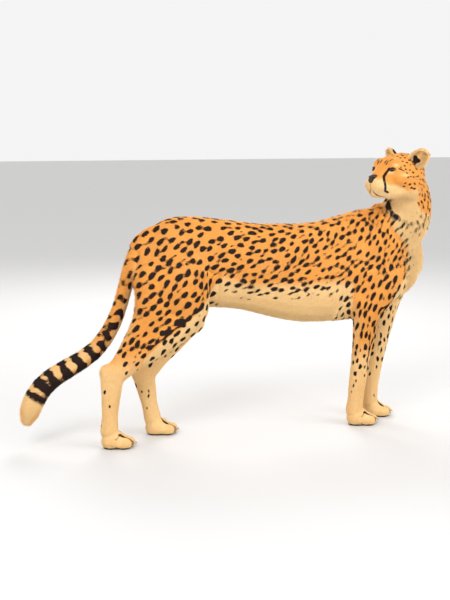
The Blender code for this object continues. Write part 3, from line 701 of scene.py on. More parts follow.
def tone_of(points, normals, owner):
    """0 where the coat is orange, 1 where it is cream."""
    here = points - np.array(SHIFT)
    belly = tone = ramp(step_line(here[:, 0], FLANK_EDGE) - here[:, 2], -0.014, 0.030)
    # The chest, and the throat, which turns with the head.
    across = across_chest(here)
    chest = ramp(across - step_line(here[:, 2], CHEST_EDGE), -0.006, 0.010)
    nape = ramp(across - step_line(here[:, 2], NAPE_EDGE), -0.006, 0.012)
    travelled, foot, heading, gap = follow(points, NECK_LINE)
    share = np.clip(travelled / 0.33, 0, 1)
    front = unit(np.stack([1 - 0.9 * share, -0.25 - 0.55 * share, -0.10 - 0.45 * share], axis=1))
    far = ramp(np.sum(unit(points - foot) * front, axis=1), 0.35 + 0.15 * share, 0.75)
    near = ramp(normals @ np.array(THROAT_SIDE), -0.3, 0.1)
    high = ramp(here[:, 2], 0.73, 0.77)
    throat = chest * ((1 - nape) * near + far * (1 - near)) * ramp(-here[:, 2], -0.900, -0.872)
    chest *= ramp(here[:, 2], 0.41, 0.46)
    tone = np.maximum(tone, (chest * (1 - high) + throat * high) * (owner < 3))
    # Legs: orange outside, cream inside and below.
    for name in LEG_LINES:
        ours = owner == PARTS.index(name)
        side = SIDES[name.split("_")[0]]
        inner = ramp(-normals[:, 1] * side, 0.10, 0.65) * ramp(-here[:, 2], -0.60, -0.50)
        low = (0.350, 0.250) if "hind" in name else (0.345, 0.225)
        pale = 0.88 * ramp(-here[:, 2], -low[0], -low[1])
        behind = 0.5 * ramp(-normals[:, 0], 0.3, 0.9) * ramp(-here[:, 2], -0.50, -0.40)
        if "hind" in name:
            fold = ramp(here[:, 0] - step_line(here[:, 2], HIND_EDGE), -0.004, 0.010)
            if "left" in name:
                fold = 0.8 * ramp(normals[:, 0], 0.45, 0.95)
        else:
            rear = 0.372 if "right" in name else 0.478
            fold = np.maximum(chest, belly * ramp(-here[:, 0], -rear - 0.012, -rear + 0.006))
        tone = np.where(ours, np.maximum.reduce([inner, pale, behind, fold]), tone)
    # The tail: pale below, and paler towards its end.
    travelled, foot, heading, gap = follow(points, TAIL_LINE)
    upper = np.stack([heading[:, 2], 0 * gap, -heading[:, 0]], axis=1)
    upper *= np.sign(-upper[:, 0] + 0.3 * upper[:, 2] + 1e-6)[:, None]
    below = ramp(-np.sum(unit(points - foot) * upper, axis=1), -0.1, 0.7)
    end = 0.75 * ramp(travelled, 0.40, 0.52) + 0.25 * ramp(travelled, TAIL_LENGTH - 0.115, TAIL_LENGTH - 0.09)
    blush = ramp(travelled, TAIL_LENGTH - 0.085, TAIL_LENGTH - 0.035)
    end -= 0.55 * blush * ramp(np.abs(np.sum(unit(points - foot) * upper, axis=1) - 0.1), 0.3, 0.8)
    end -= 0.45 * (1 - blush) * ramp(below, 0.2, 0.7) * ramp(-travelled, -0.70, -0.60)
    below *= 1 - ramp(travelled, 0.42, 0.50)
    tone = np.where(owner == PARTS.index("tail"), np.maximum(0.85 * below, end), tone)
    # The head: cream below a line from the neck over the cheek to the nose.
    local = on_head(points)
    mirrored = np.abs(local[:, 1])
    pale = ramp(step_line(local[:, 0], FACE_EDGE) - local[:, 2], -0.004, 0.007)
    for centre, reach in (((0.076, 0.037, 0.003), (0.013, 0.013, 0.007)),
                          ((0.062, 0.045, 0.026), (0.013, 0.013, 0.005)),
                          ((0.030, 0.055, -0.004), (0.020, 0.02, 0.006))):
        away = ((local[:, 0] - centre[0]) / reach[0]) ** 2 + ((mirrored - centre[1]) / reach[1]) ** 2
        away += ((local[:, 2] - centre[2]) / reach[2]) ** 2
        pale = np.maximum(pale, 0.9 * np.exp(-away ** 1.5))
    skull = ramp(beyond(points, SKULL_BASE), -0.02, 0.02) * (owner == PARTS.index("head"))
    tone = tone * (1 - skull) + np.maximum(pale, tone * (1 - ramp(local[:, 0], -0.02, 0.03))) * skull
    for name, side in SIDES.items():
        ours = owner == PARTS.index("ear_" + name)
        if ours.any():
            spots, ear_axes = on_ear(points[ours], side)
            inside = ramp(normals[ours] @ ear_axes[:, 0], -0.1, 0.5)
            tone[ours] = 0.25 + 0.65 * inside
    return np.clip(tone, 0, 1)


# %% Scatter the spots
# For each part: the animal's x (or height) and there the length and width (mm) and the
# slant (degrees from ahead, upwards) of its spots.
SPOTS_ON_SIDE = [(-0.50, 31, 20, 62), (-0.36, 32, 20, 62), (-0.26, 29, 19.5, 44), (-0.16, 29, 18, 24),
                 (-0.04, 28, 16, 4), (0.08, 26, 15, 18), (0.18, 26, 14, 48), (0.32, 26, 14, 56),
                 (0.46, 25, 14, 60), (0.60, 24, 13, 64)]
SPOTS_ON_HIND = [(0.62, 31, 20, 56), (0.46, 28, 18, 52), (0.34, 26, 15, 57), (0.22, 20, 11, 70),
                 (0.12, 14, 9, 75), (0.0, 10, 8, 80)]
SPOTS_ON_FORE = [(0.62, 31, 16, 54), (0.46, 31, 15, 66), (0.34, 27, 13, 86), (0.22, 21, 12, 84),
                 (0.12, 15, 9, 84), (0.0, 9, 7, 80)]
SPOTS_ON_NECK = [(0.0, 22, 13, -30), (0.3, 17, 11, -58)]
SPOTS_ON_HEAD = [(-0.06, 13.5, 9.5, 20), (0.02, 11, 8.2, 0), (0.05, 8.5, 6.2, 0)]
SPOTS_ON_TAIL = [(0.0, 29, 17, 0), (0.30, 28, 16, 0), (0.86, 22, 12, 0)]


def spot_plan(points, normals, owner):
    """Length and width in metres, and the direction of the long axis."""
    here = points - np.array(SHIFT)
    plan = np.empty((len(points), 3))

    def fill(ours, where, table):
        order = sorted(table)
        for column in range(3):
            plan[ours, column] = np.interp(where[ours], [row[0] for row in order],
                                           [row[column + 1] for row in order])

    fill(owner == 0, here[:, 0], SPOTS_ON_SIDE)
    fill(owner == 1, follow(points, NECK_LINE)[0], SPOTS_ON_NECK)
    fill((owner > 1) & (owner < 5), on_head(points)[:, 0], SPOTS_ON_HEAD)
    tail_way, foot, tail_heading, gap = follow(points, TAIL_LINE)
    fill(owner == 5, tail_way, SPOTS_ON_TAIL)
    for name in LEG_LINES:
        fill(owner == PARTS.index(name), here[:, 2], SPOTS_ON_HIND if "hind" in name else SPOTS_ON_FORE)
    slant = np.radians(plan[:, 2])
    along = np.stack([np.cos(slant), 0 * slant, np.sin(slant)], axis=1)
    along[owner == 5] = tail_heading[owner == 5]
    return plan[:, :2].T / 1000, flat_on(normals, along + 1e-4)


def faces_of(obj):
    """Corner points, middles, normals and areas of an object's triangles."""
    count = len(obj.data.polygons)
    corners = np.empty(count * 3, dtype=int)
    obj.data.polygons.foreach_get("vertices", corners)
    corners = corners.reshape(-1, 3)
    places = points_of(obj)[corners]
    cross = np.cross(places[:, 1] - places[:, 0], places[:, 2] - places[:, 0])
    length = np.linalg.norm(cross, axis=1)
    return corners, places, cross / np.maximum(length, 1e-12)[:, None], length / 2


class Cells:
    """Points sorted into cubes, to find those near a place quickly."""

    def __init__(self, points, size):
        self.size = size
        keys = np.floor(points / size).astype(np.int64) + 4096
        code = (keys[:, 0] << 40) + (keys[:, 1] << 20) + keys[:, 2]
        self.order = np.argsort(code, kind="stable")
        codes, starts, counts = np.unique(code[self.order], return_index=True, return_counts=True)
        self.runs = {int(code): (start, start + count) for code, start, count in zip(codes, starts, counts)}

    def near(self, place):
        """Numbers of the points in the 27 cubes round a place."""
        x, y, z = (int(value) + 4096 for value in np.floor(place / self.size))
        found = []
        for dx in (-1, 0, 1):
            for dy in (-1, 0, 1):
                for dz in (-1, 0, 1):
                    run = self.runs.get(((x + dx) << 40) + ((y + dy) << 20) + z + dz)
                    if run:
                        found.append(self.order[run[0]:run[1]])
        return np.concatenate(found) if found else np.zeros(0, dtype=int)


def scatter_spots(seed, tries, grow, gap, taken=()):
    """Spots as (middle, normal, long axis, half length, half width), with a gap round each."""
    random = np.random.default_rng(seed)
    corners, places, normals, areas = faces_of(skin)
    chosen = random.choice(len(areas), size=tries, p=areas / areas.sum())
    mix = random.dirichlet((1, 1, 1), size=tries)
    middles = np.sum(places[chosen] * mix[:, :, None], axis=1)
    facing = unit(normals_of(skin)[corners[chosen]].mean(axis=1))
    (lengths, widths), along = spot_plan(middles, facing, part_of(middles))
    halves = np.stack([lengths, widths], axis=1) / 2 * random.uniform(*grow, (tries, 1))
    halves *= random.uniform(0.88, 1.12, (tries, 2))
    sway = random.normal(0, 0.17, tries)
    across = np.cross(facing, along)
    along = along * np.cos(sway)[:, None] + across * np.sin(sway)[:, None]
    found, grid, cube = list(taken), {}, 0.05
    steps = [(x, y, z) for x in (-1, 0, 1) for y in (-1, 0, 1) for z in (-1, 0, 1)]

    def cell(place):
        return tuple(int(value) for value in place // cube)

    def note(spot):
        frame_of = np.stack([spot[2], np.cross(spot[1], spot[2]), spot[1]])
        grid.setdefault(cell(spot[0]), []).append((*spot[0], *frame_of.ravel(), spot[3], spot[4]))

    for spot in found:
        note(spot)
    for place, normal, axis, half in zip(middles, facing, along, halves):
        home = cell(place)
        others = [other for step in steps
                  for other in grid.get((home[0] + step[0], home[1] + step[1], home[2] + step[2]), ())]
        if others:
            others = np.array(others)
            away = np.einsum("nij,nj->ni", others[:, 3:12].reshape(-1, 3, 3), place - others[:, :3])
            room = (away[:, 0] / (others[:, 12] + half[0] + gap)) ** 2 \
                + (away[:, 1] / (others[:, 13] + half[1] + gap)) ** 2
            if np.any((room < 1) & (np.abs(away[:, 2]) < 0.030)):
                continue
        found.append((place, normal, axis, *half))
        note(found[-1])
    return found


spots = scatter_spots(seed=7, tries=30000, grow=(0.86, 1.14), gap=0.0045)
big = len(spots)
spots = scatter_spots(seed=11, tries=6000, grow=(0.42, 0.60), gap=0.0042, taken=spots)
# Fewer on the lower legs.
random = np.random.default_rng(29)
middles = np.array([spot[0] for spot in spots])
heights, owner = middles[:, 2] - SHIFT.z, part_of(middles)
keep = np.where(owner < 8, 0.20 + 0.80 * ramp(heights, 0.22, 0.36), ramp(heights, 0.09, 0.26))
spots = [spot for spot, share, part, toss in zip(spots, keep, owner, random.uniform(0, 1, len(spots)))
         if part < 6 or toss < share]
print("spots:", len(spots), "of which big at first:", big)

# %% Distance to the nearest dark mark
TEAR = [(0.0768, 0.0309, 0.0150), (0.0872, 0.0288, 0.0022), (0.0969, 0.0273, -0.0119),
        (0.0991, 0.0336, -0.0267), (0.0988, 0.0391, -0.0414), (0.0949, 0.0341, -0.0565),
        (0.0797, 0.0338, -0.0624)]
FACE_LINES = [
    (TEAR, 0.0052), (MOUTH, 0.0024), (PHILTRUM, 0.0012),
    ([(0.054, 0.0455, 0.0168), (0.043, 0.0500, 0.0130), (0.034, 0.0540, 0.0100)], 0.0026),
    ([(0.080, 0.018, 0.026), (0.072, 0.020, 0.038)], 0.0025),
    ([(0.078, 0.009, 0.030), (0.068, 0.011, 0.043)], 0.0024),
    ([(0.074, 0.027, 0.037), (0.060, 0.030, 0.047)], 0.0026),
    ([(0.046, 0.012, 0.060), (0.020, 0.018, 0.066)], 0.0024),
    ([(0.115, 0.014, -0.036), (0.106, 0.021, -0.034)], 0.0007),
    ([(0.116, 0.014, -0.043), (0.102, 0.026, -0.041)], 0.0007),
    ([(0.114, 0.016, -0.050), (0.100, 0.029, -0.049)], 0.0007),
]


# Painted shade, dark lines where one part shades the next: down the front edge of the right hind leg, in the throat
# fold, under the jaw, at the right elbow and along the right foreleg's front edge: (path on the body's lines, half
# width).
PAINTED_SHADE_PATHS = [
    ([(-0.220, -0.115, 0.486), (-0.266, -0.119, 0.442), (-0.338, -0.117, 0.392), (-0.403, -0.113, 0.341)], 0.0052),
    ([(-0.236, -0.116, 0.470), (-0.208, -0.113, 0.478)], 0.0060),
    ([(-0.280, -0.115, 0.441), (-0.305, -0.115, 0.428)], 0.0105),
    ([(-0.326, -0.115, 0.406), (-0.352, -0.113, 0.395)], 0.0085),
    ([(-0.390, -0.113, 0.354), (-0.412, -0.110, 0.346)], 0.0090),
    ([(0.520, -0.030, 0.838), (0.526, -0.042, 0.824), (0.536, -0.071, 0.791), (0.566, -0.082, 0.768)], 0.0120),
    ([(0.537, 0.012, 0.838), (0.534, -0.063, 0.843)], 0.0080),
    ([(0.366, -0.088, 0.489), (0.382, -0.094, 0.486)], 0.0045),
    ([(0.470, -0.112, 0.432), (0.499, -0.108, 0.448), (0.529, -0.105, 0.469)], 0.0050),
    ([(0.477, -0.105, 0.419), (0.500, -0.100, 0.425)], 0.0042),
    ([(0.441, -0.107, 0.364), (0.444, -0.095, 0.285), (0.440, -0.085, 0.200)], 0.0030),
]


def laid_on_skin(path):
    """The path in steps of about 8 mm, each moved to the nearest place on the skin."""
    corners, knots = points_of(skin), line(*path)
    length = np.sum(np.linalg.norm(np.diff(knots, axis=0), axis=1))
    share = np.linspace(0, len(knots) - 1, max(3, int(length / 0.008)))
    places = np.stack([np.interp(share, np.arange(len(knots)), knots[:, axis]) for axis in range(3)], axis=1)
    laid = [corners[np.argmin(np.sum((corners - place) ** 2, axis=1))] for place in places]
    return np.array(laid[:1] + [b for a, b in zip(laid[:-1], laid[1:]) if np.linalg.norm(b - a) > 0.001])


PAINTED_SHADE_LINES = [(laid_on_skin(path), half) for path, half in PAINTED_SHADE_PATHS]


# Where the middles of the tail's dark bands lie along it, in metres.
TAIL_BANDS = [0.271, 0.325, 0.372, 0.411, 0.451, 0.498, 0.555, 0.608, 0.661, 0.702, 0.752]


def mark_of(points, normals, owner):
    """Millimetres inside the nearest dark mark; below zero outside of all."""
    mark = np.full(len(points), -6.0)
    here = points - np.array(SHIFT)
    local = on_head(points)
    tail_way, foot, heading, gap = follow(points, TAIL_LINE)
    no_spots = ((owner == 3) | (owner == 4) | (owner == 5) & (tail_way > 0.235)
                | (owner == 2) & ((local[:, 0] > 0.044) | (local[:, 2] < -0.060))
                | (owner >= 6) & (here[:, 2] < 0.060))
    cells = Cells(points, 0.024)
    wobble = np.random.default_rng(5).uniform(-math.pi, math.pi, (len(spots), 3))
    for (place, normal, axis, half_length, half_width), turn in zip(spots, wobble):
        near = cells.near(place)
        if not len(near):
            continue
        away = points[near] - place
        a, b = away @ axis / half_length, away @ np.cross(normal, axis) / half_width
        angle = np.arctan2(b, a)
        edge = 1 + 0.10 * np.sin(2 * angle + turn[0]) + 0.09 * np.sin(3 * angle + turn[1]) \
            + 0.05 * np.sin(5 * angle + turn[2])
        inside = (edge - (np.abs(a) ** 2.2 + np.abs(b) ** 2.2) ** (1 / 2.2)) * half_width * 1000
        inside[np.abs(away @ normal) > 0.022] = -6
        mark[near] = np.maximum(mark[near], inside)
    mark[no_spots] = -6
    # Fewer and fainter on cream: the belly, the insides of the legs and the throat.
    tone = tone_of(points, normals, owner)
    under = ramp(step_line(here[:, 0], FLANK_EDGE) - here[:, 2], 0.025, 0.090) * (owner == 0) * (here[:, 0] < 0.50)
    across = across_chest(here)
    throat = ramp(tone, 0.5, 0.9) * ramp(here[:, 2], 0.76, 0.80) * ramp(-across, -0.640, -0.600) * (owner < 3)
    inner = ramp(tone, 0.5, 0.9) * (owner >= 6)
    ahead = ramp(across - step_line(here[:, 2], CHEST_EDGE), 0.012, 0.040) * ramp(-here[:, 2], -0.730, -0.690)
    mark -= 6.5 * under + 9 * throat + 0.8 * inner + 5 * ahead * (owner < 2)
    # The tail: cross bands, then rings, and a pale tip.
    upper = np.stack([heading[:, 2], 0 * gap, -heading[:, 0]], axis=1)
    upper *= np.sign(-upper[:, 0] + 0.3 * upper[:, 2] + 1e-6)[:, None]
    round_it = unit(points - foot)
    above = np.sum(round_it * upper, axis=1)
    wave = np.interp(tail_way, TAIL_BANDS, np.arange(len(TAIL_BANDS)))
    number = np.round(wave)
    late = ramp(tail_way, 0.455, 0.500)
    bend = 0.004 * np.sin(9 * round_it[:, 1] + 31 * tail_way) \
        + 0.0065 * (1 - late) * np.sin(4.2 * above + 1.9 * number)
    ring = np.abs(tail_way + bend - np.array(TAIL_BANDS)[number.astype(int)])
    half = 0.0135 + 0.0022 * late + 0.0080 * ramp(-above, 0.0, 0.7) * late
    half += 0.0022 * np.sin(5.3 * number + 2.2 * round_it[:, 1] + 1.7 * above)
    # The first ones are blotches on each side, with small spots between them along the top.
    aside = (1 - late) * np.abs(above + 0.18 * np.sin(2.1 * number + round_it[:, 1])) / 0.78
    bands = (1 - ((ring / half) ** 2.6 + aside ** 2.6) ** (1 / 2.6)) * half * 1000
    between = np.abs(wave - np.floor(wave) - 0.5) * 0.048
    small = (1 - np.hypot(between / 0.0075, (above - 0.92) / 0.20)) * 7
    bands = np.maximum(bands, small - 12 * late)
    bands[(tail_way < 0.247) | (tail_way > TAIL_LENGTH - 0.098)] = -6
    mark = np.where(owner == 5, np.maximum(mark, np.clip(bands, -6, 6)), mark)
    # The face: tear lines, lips and small streaks; the ears: dark backs, and painted shade in the hollow inside each.
    face = owner == 2
    if face.any():
        for path, half in FACE_LINES:
            distance, share = near_path(local[face], path)
            mark[face] = np.maximum(mark[face], (half * (1 - 0.25 * np.abs(2 * share - 1) ** 2)
                                                 - distance) * 1000)
        for name, side in SIDES.items():
            spot = points[face] - np.array(middle_of("eye_" + name))
            out, inner, up = eye_axes(side)
            lid = almond(spot @ inner, spot @ up)
            width = (2.80 - lid) * 3.0
            width[(spot @ out < 0) | (np.linalg.norm(spot, axis=1) > EYE_RADIUS + 0.009)] = -6
            mark[face] = np.maximum(mark[face], width)
    for name, side in SIDES.items():
        ours = owner == PARTS.index("ear_" + name)
        if ours.any():
            at, ear_axes = on_ear(points[ours], side)
            back = -(normals[ours] @ ear_axes[:, 0])
            patch = 26 * (back - 0.15) * ramp(0.030 - np.abs(at[:, 2] - 0.004), -0.004, 0.002)
            patch -= 12 * ramp(at[:, 2], 0.020, 0.027)
            # Painted shade: a dark jagged patch in the hollow inside the ear.
            arm = np.sin(3 * np.arctan2(at[:, 2] + 0.006, at[:, 1] + 0.003 * side) + 0.6 * side)
            ear_hollow_shade = 11.0 + 4.2 * arm - 1000 * np.hypot((at[:, 1] + 0.003 * side) * 1.0, (at[:, 2] + 0.006) * 0.62)
            mark[ours] = np.maximum(patch, np.where(back < 0.3, ear_hollow_shade, -6))
    # The paws are dark up to about 6 mm above the floor, and painted shade lies in the furrows between the toes.
    mark = np.where(owner >= 6, np.maximum(mark, 6.2 - 1000 * points[:, 2]), mark)
    # Painted shade: dark lines in the furrows between the toes.
    for name, (x, y) in ANKLES.items():
        ours = (owner == PARTS.index(name)) & (here[:, 2] < 0.055)
        if ours.any():
            ahead, across = here[ours, 0] - x, here[ours, 1] - y
            hook = 0.013 * np.sign(y) * (1 - ramp(ahead, 0.020, 0.042)) ** 2
            line_gap = np.abs(across - hook - fan(TOE_GAPS, ahead)).min(axis=0)
            mark[ours] = np.maximum(mark[ours], (0.0046 * ramp(ahead, 0.012, 0.042) - line_gap) * 1000)
    # Painted shade: dark lines along folds, under the jaw and between the legs.
    for path, half in PAINTED_SHADE_LINES:
        travelled, foot, heading, gap = follow(points, path)
        share = travelled / max(travelled.max(), 1e-9)
        near = gap < 0.03
        uneven = half * (1 - 0.6 * np.abs(2 * share - 1) ** 2) * (0.85 + 0.3 * np.sin(90 * travelled))
        mark[near] = np.maximum(mark[near], (uneven - gap)[near] * 1000)
    return np.clip(mark, -6, 6)


points, normals = points_of(skin), normals_of(skin)
owner = part_of(points)
tone, mark = tone_of(points, normals, owner), mark_of(points, normals, owner)
print("dark share of the skin: %.2f" % np.mean(mark > 0), "cream share: %.2f" % np.mean(tone > 0.5))

# %% [markdown]
# ## The coat
# The coat is short and lies flat, so each tuft is a small closed spike: two roots, a
# ridge between them and a tip, four triangles in all. The roots are spread evenly over
# the skin. Tufts are smallest on face, ears and paws, and longest on belly, throat, nape
# and at the end of the tail, where they also stand out a little.

# %% Length, width and lift of the tufts
def coat_plan(points, normals, owner):
    """Length and width of the tufts in metres, and how many degrees they stand out."""
    here = points - np.array(SHIFT)
    local = on_head(points)
    length, width, lift = np.full(len(points), 0.0138), np.full(len(points), 0.0017), np.full(len(points), 7.0)
    trunk, neck, skull = owner == 0, owner == 1, owner == 2
    belly = ramp(-normals[:, 2], 0.35, 0.95) * trunk * ramp(-here[:, 0], -0.62, -0.50)
    length += 0.005 * belly
    lift += 5 * belly
    nape = ramp(normals[:, 2], 0.3, 0.9) * trunk * ramp(here[:, 0], 0.30, 0.46)
    throat = ramp(tone_of(points, normals, owner), 0.4, 0.9) * (neck | trunk & (here[:, 0] > 0.52))
    nape = np.maximum(nape, (1 - throat) * ramp(np.sum(normals * (-1, 0.4, 0.5), axis=1), 0.1, 0.8) * neck)
    length += 0.004 * nape + 0.005 * throat
    lift += 7 * nape + 8 * throat
    front = ramp(local[:, 0], -0.05, 0.06)
    face_length = 0.0095 * (1 - front) + 0.0048 * front
    cheek = ramp(-local[:, 2], -0.01, 0.05) * ramp(-local[:, 0], -0.03, 0.02)
    face_length += 0.005 * cheek
    muzzle = ramp(local[:, 0], 0.085, 0.115)
    face_length -= 0.0012 * muzzle
    join = ramp(beyond(points, SKULL_BASE), -0.03, 0.03)
    for wanted, value in ((length, face_length), (width, 0.00135 - 0.00040 * front), (lift, 8 + 8 * cheek)):
        wanted += ((value - wanted) * join) * (neck | skull)
    ears = (owner == 3) | (owner == 4)
    length[ears], width[ears], lift[ears] = 0.0055, 0.0010, 10.0
    for name, side in SIDES.items():
        ours = owner == PARTS.index("ear_" + name)
        spots, axes = on_ear(points[ours], side)
        inside = ramp(normals[ours] @ axes[:, 0], 0.1, 0.6)
        length[ours] += 0.0065 * inside
        lift[ours] += 16 * inside
    tail = owner == 5
    way = follow(points, TAIL_LINE)[0]
    end = ramp(way, TAIL_LENGTH - 0.14, TAIL_LENGTH - 0.03)
    length[tail], lift[tail] = (0.0165 + 0.001 * end)[tail], (8 + 2 * end)[tail]
    legs = owner >= 6
    down = ramp(-here[:, 2], -0.50, -0.14)
    paw = ramp(-here[:, 2], -0.10, -0.04)
    fringe = ramp(-normals[:, 0], 0.3, 0.9) * ramp(here[:, 2], 0.34, 0.44)
    length[legs] = (0.0142 - 0.0054 * down - 0.0030 * paw + 0.004 * fringe)[legs]
    width[legs] = (0.0017 - 0.0004 * down - 0.0002 * paw)[legs]
    lift[legs] = (7 + 7 * fringe)[legs]
    return length, width, lift


# %% Roots spread over the skin
COVER = 1.68                            # how many tufts lie over each place, on average
corners, places, flat_normals, areas = faces_of(skin)
skin_normals = normals_of(skin)
middles = places.mean(axis=1)
face_owner = part_of(middles)
length, width, lift = coat_plan(middles, flat_normals, face_owner)
bare = (middles[:, 2] < 0.004) & (flat_normals[:, 2] < -0.3)
for name, side in SIDES.items():
    spot = middles - np.array(middle_of("eye_" + name))
    out, inner, up = eye_axes(side)
    reach = np.linalg.norm(spot, axis=1)
    bare |= (reach < EYE_RADIUS + 0.0012)
    bare |= (spot @ out > 0) & (reach < EYE_RADIUS + 0.008) & (almond(spot @ inner, spot @ up) < 1.25)
low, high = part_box("nose")
bare |= np.all((middles > np.array(low) + 0.002) & (middles < np.array(high) - 0.002), axis=1)
wanted = np.where(bare, 0, areas * COVER / (0.5 * length * width))
total = int(wanted.sum())
random = np.random.default_rng(3)
sums = np.cumsum(wanted)
ticks = (np.arange(total) + random.uniform(0, 1, total)) * sums[-1] / total
face = np.clip(np.searchsorted(sums, ticks), 0, len(wanted) - 1)
a, b = random.uniform(0, 1, total), random.uniform(0, 1, total)
flip = a + b > 1
a[flip], b[flip] = 1 - a[flip], 1 - b[flip]
mix = np.stack([1 - a - b, a, b], axis=1)
root = np.sum(places[face] * mix[:, :, None], axis=1)
up = unit(np.sum(skin_normals[corners[face]] * mix[:, :, None], axis=1))
owner = part_of(root)
length, width, lift = coat_plan(root, up, owner)
length *= random.uniform(0.78, 1.22, total)
width *= random.uniform(0.80, 1.20, total)
print("tufts:", total)

# %% Lay the tufts along the body
flow = lie_of(root, up, owner)
side = np.cross(flow, up)
turn = random.normal(0, 0.13, total)
clump = 0.10 * np.sin(root @ np.array((61.0, 47.0, 83.0)) + 2.1 * np.sin(root @ np.array((-29.0, 71.0, 37.0))))
flow = unit(flow + side * (turn + clump)[:, None])
side = np.cross(flow, up)
raised = np.radians(lift * random.uniform(0.5, 1.5, total))
tip = root + flow * (length * np.cos(raised))[:, None] + up * (length * np.sin(raised) + 0.0004)[:, None]
tip[:, 2] = np.maximum(tip[:, 2], 0.0006)
sense = root + 0.85 * (tip - root)
root_tone, root_mark = tone_of(root, up, owner), mark_of(root, up, owner)
tip_tone, tip_mark = tone_of(sense, up, owner), mark_of(sense, up, owner)
chance = random.uniform(0, 1, total)
print("dark tufts: %.2f" % np.mean(root_mark > 0))


# %% The unwrap of each part
def unwrap(points, part):
    """Where the points lie when a part's skin is rolled off, in metres."""
    name = PARTS[part]
    if name == "head":
        local = on_head(points)
        local = local - np.array((0.02, 0, -0.01))
        way = np.arccos(np.clip(unit(local)[:, 0], -1, 1))
        round_it = np.arctan2(local[:, 2], local[:, 1])
        return np.stack([way * np.cos(round_it), way * np.sin(round_it)], axis=1) * 0.10
    if name.startswith("ear"):
        spots, axes = on_ear(points, SIDES[name[4:]])
        return np.stack([spots[:, 1] + 0.09 * (spots[:, 0] > -0.004), spots[:, 2]], axis=1)
    middle = {"neck": NECK_LINE, "trunk": TRUNK_LINE, "tail": TAIL_LINE}.get(name)
    middle = LEG_LINES[name] if middle is None else middle
    travelled, foot, heading, gap = follow(points, middle)
    spoke = points - foot
    seam = flat_on(heading, np.tile((0.0, 0.0, 1.0) if name == "trunk" else (-0.3, -0.9 * (
        -1 if name.startswith("left") else 1), 0.1), (len(points), 1)))
    angle = np.arctan2(np.sum(np.cross(seam, spoke) * heading, axis=1), np.sum(seam * spoke, axis=1))
    return np.stack([travelled, angle * (0.16 if name == "trunk" else 0.05)], axis=1)


# %% Build the coat's pieces
CUTS = {"rump": (-9, -0.22), "loins": (-0.22, 0.02), "ribs": (0.02, 0.27), "shoulders": (0.27, 9)}


def build_tufts(name, chosen):
    """One mesh of all the chosen tufts, with colours, normals and a map."""
    count = len(chosen)
    r, t, n, d, s = root[chosen], tip[chosen], up[chosen], flow[chosen], side[chosen]
    w = width[chosen][:, None]
    left, right = r - s * w / 2 - n * 0.0004, r + s * w / 2 - n * 0.0004
    ridge = r + (t - r) * 0.30 + n * w * 0.28
    verts = np.stack([left, right, ridge, t], axis=1)
    verts[:, :, 2] = np.maximum(verts[:, :, 2], 0.0003)
    pattern = np.array([0, 2, 3, 2, 1, 3, 1, 0, 3, 0, 1, 2])
    loops = (np.arange(count)[:, None] * 4 + pattern).ravel().astype(np.int32)
    mesh = bpy.data.meshes.new(name)
    mesh.vertices.add(count * 4)
    mesh.vertices.foreach_set("co", verts.ravel())
    mesh.loops.add(count * 12)
    mesh.loops.foreach_set("vertex_index", loops)
    mesh.polygons.add(count * 4)
    mesh.polygons.foreach_set("loop_start", np.arange(0, count * 12, 3, dtype=np.int32))
    mesh.update(calc_edges=True)

    def attribute(title, values):
        made = mesh.attributes.new(title, "FLOAT", "POINT")
        made.data.foreach_set("value", np.stack(values, axis=1).ravel().astype(np.float32))

    low, high = root_mark[chosen], tip_mark[chosen]
    attribute("tone", [root_tone[chosen]] * 3 + [tip_tone[chosen]])
    attribute("mark", [low, low, low * 0.7 + high * 0.3, high])
    attribute("chance", [chance[chosen]] * 4)
    attribute("along", [0 * low, 0 * low, 0 * low + 0.3, 0 * low + 1])
    flat = np.empty((count, 2))
    for part in np.unique(owner[chosen]):
        ours = owner[chosen] == part
        flat[ours] = unwrap(r[ours], part)
    flat -= flat.min(axis=0)
    flat = 0.004 + 0.992 * flat / flat.max(axis=0)
    patch = np.array([(-1, -1), (1, -1), (0, 0), (0, 1)]) * 0.0015
    places = (flat[:, None, :] + patch).reshape(-1, 2)[loops]
    layer = mesh.uv_layers.new(name="OFBake")
    layer.uv.foreach_set("vector", places.ravel().astype(np.float32))
    shade = np.stack([n - s * 0.45, n + s * 0.45, n, n + d * 0.25], axis=1)
    mesh.normals_split_custom_set_from_vertices(unit(shade).reshape(-1, 3).astype(np.float32))
    obj = bpy.data.objects.new(name, mesh)
    bpy.context.scene.collection.objects.link(obj)
    return obj


coat = []
here_x = root[:, 0] - SHIFT.x
local_x = on_head(root)[:, 0]
groups = {"coat_" + name: (owner == 0) & (here_x >= back) & (here_x < front)
          for name, (back, front) in CUTS.items()}
groups["coat_crown"] = (owner == 2) & (local_x < 0.045)
groups["coat_face"] = (owner == 2) & (local_x >= 0.045)
for number, name in enumerate(PARTS):
    if name in LEG_LINES:
        upper = root[:, 2] > 0.42
        groups["coat_" + name + "_upper"] = (owner == number) & upper
        groups["coat_" + name + "_lower"] = (owner == number) & ~upper
    elif name not in ("trunk", "head"):
        groups["coat_" + name] = owner == number
for name, ours in groups.items():
    coat.append(build_tufts(name, np.flatnonzero(ours)))
    print("%-18s %7d triangles" % (name, len(coat[-1].data.polygons)))
print("coat: %d triangles in all" % sum(len(piece.data.polygons) for piece in coat))

# %% The skin gets the same colours
points, normals = points_of(skin), normals_of(skin)
owner_of_skin = part_of(points)
tone, mark = tone_of(points, normals, owner_of_skin), mark_of(points, normals, owner_of_skin)
sole = (points[:, 2] < 0.006) & (normals[:, 2] < -0.2)
mark[sole] = 5
for name, values in (("tone", tone), ("mark", mark), ("chance", 0.5 + 0 * mark), ("along", 0.35 + 0 * mark)):
    made = skin.data.attributes.new(name, "FLOAT", "POINT")
    made.data.foreach_set("value", values.astype(np.float32))

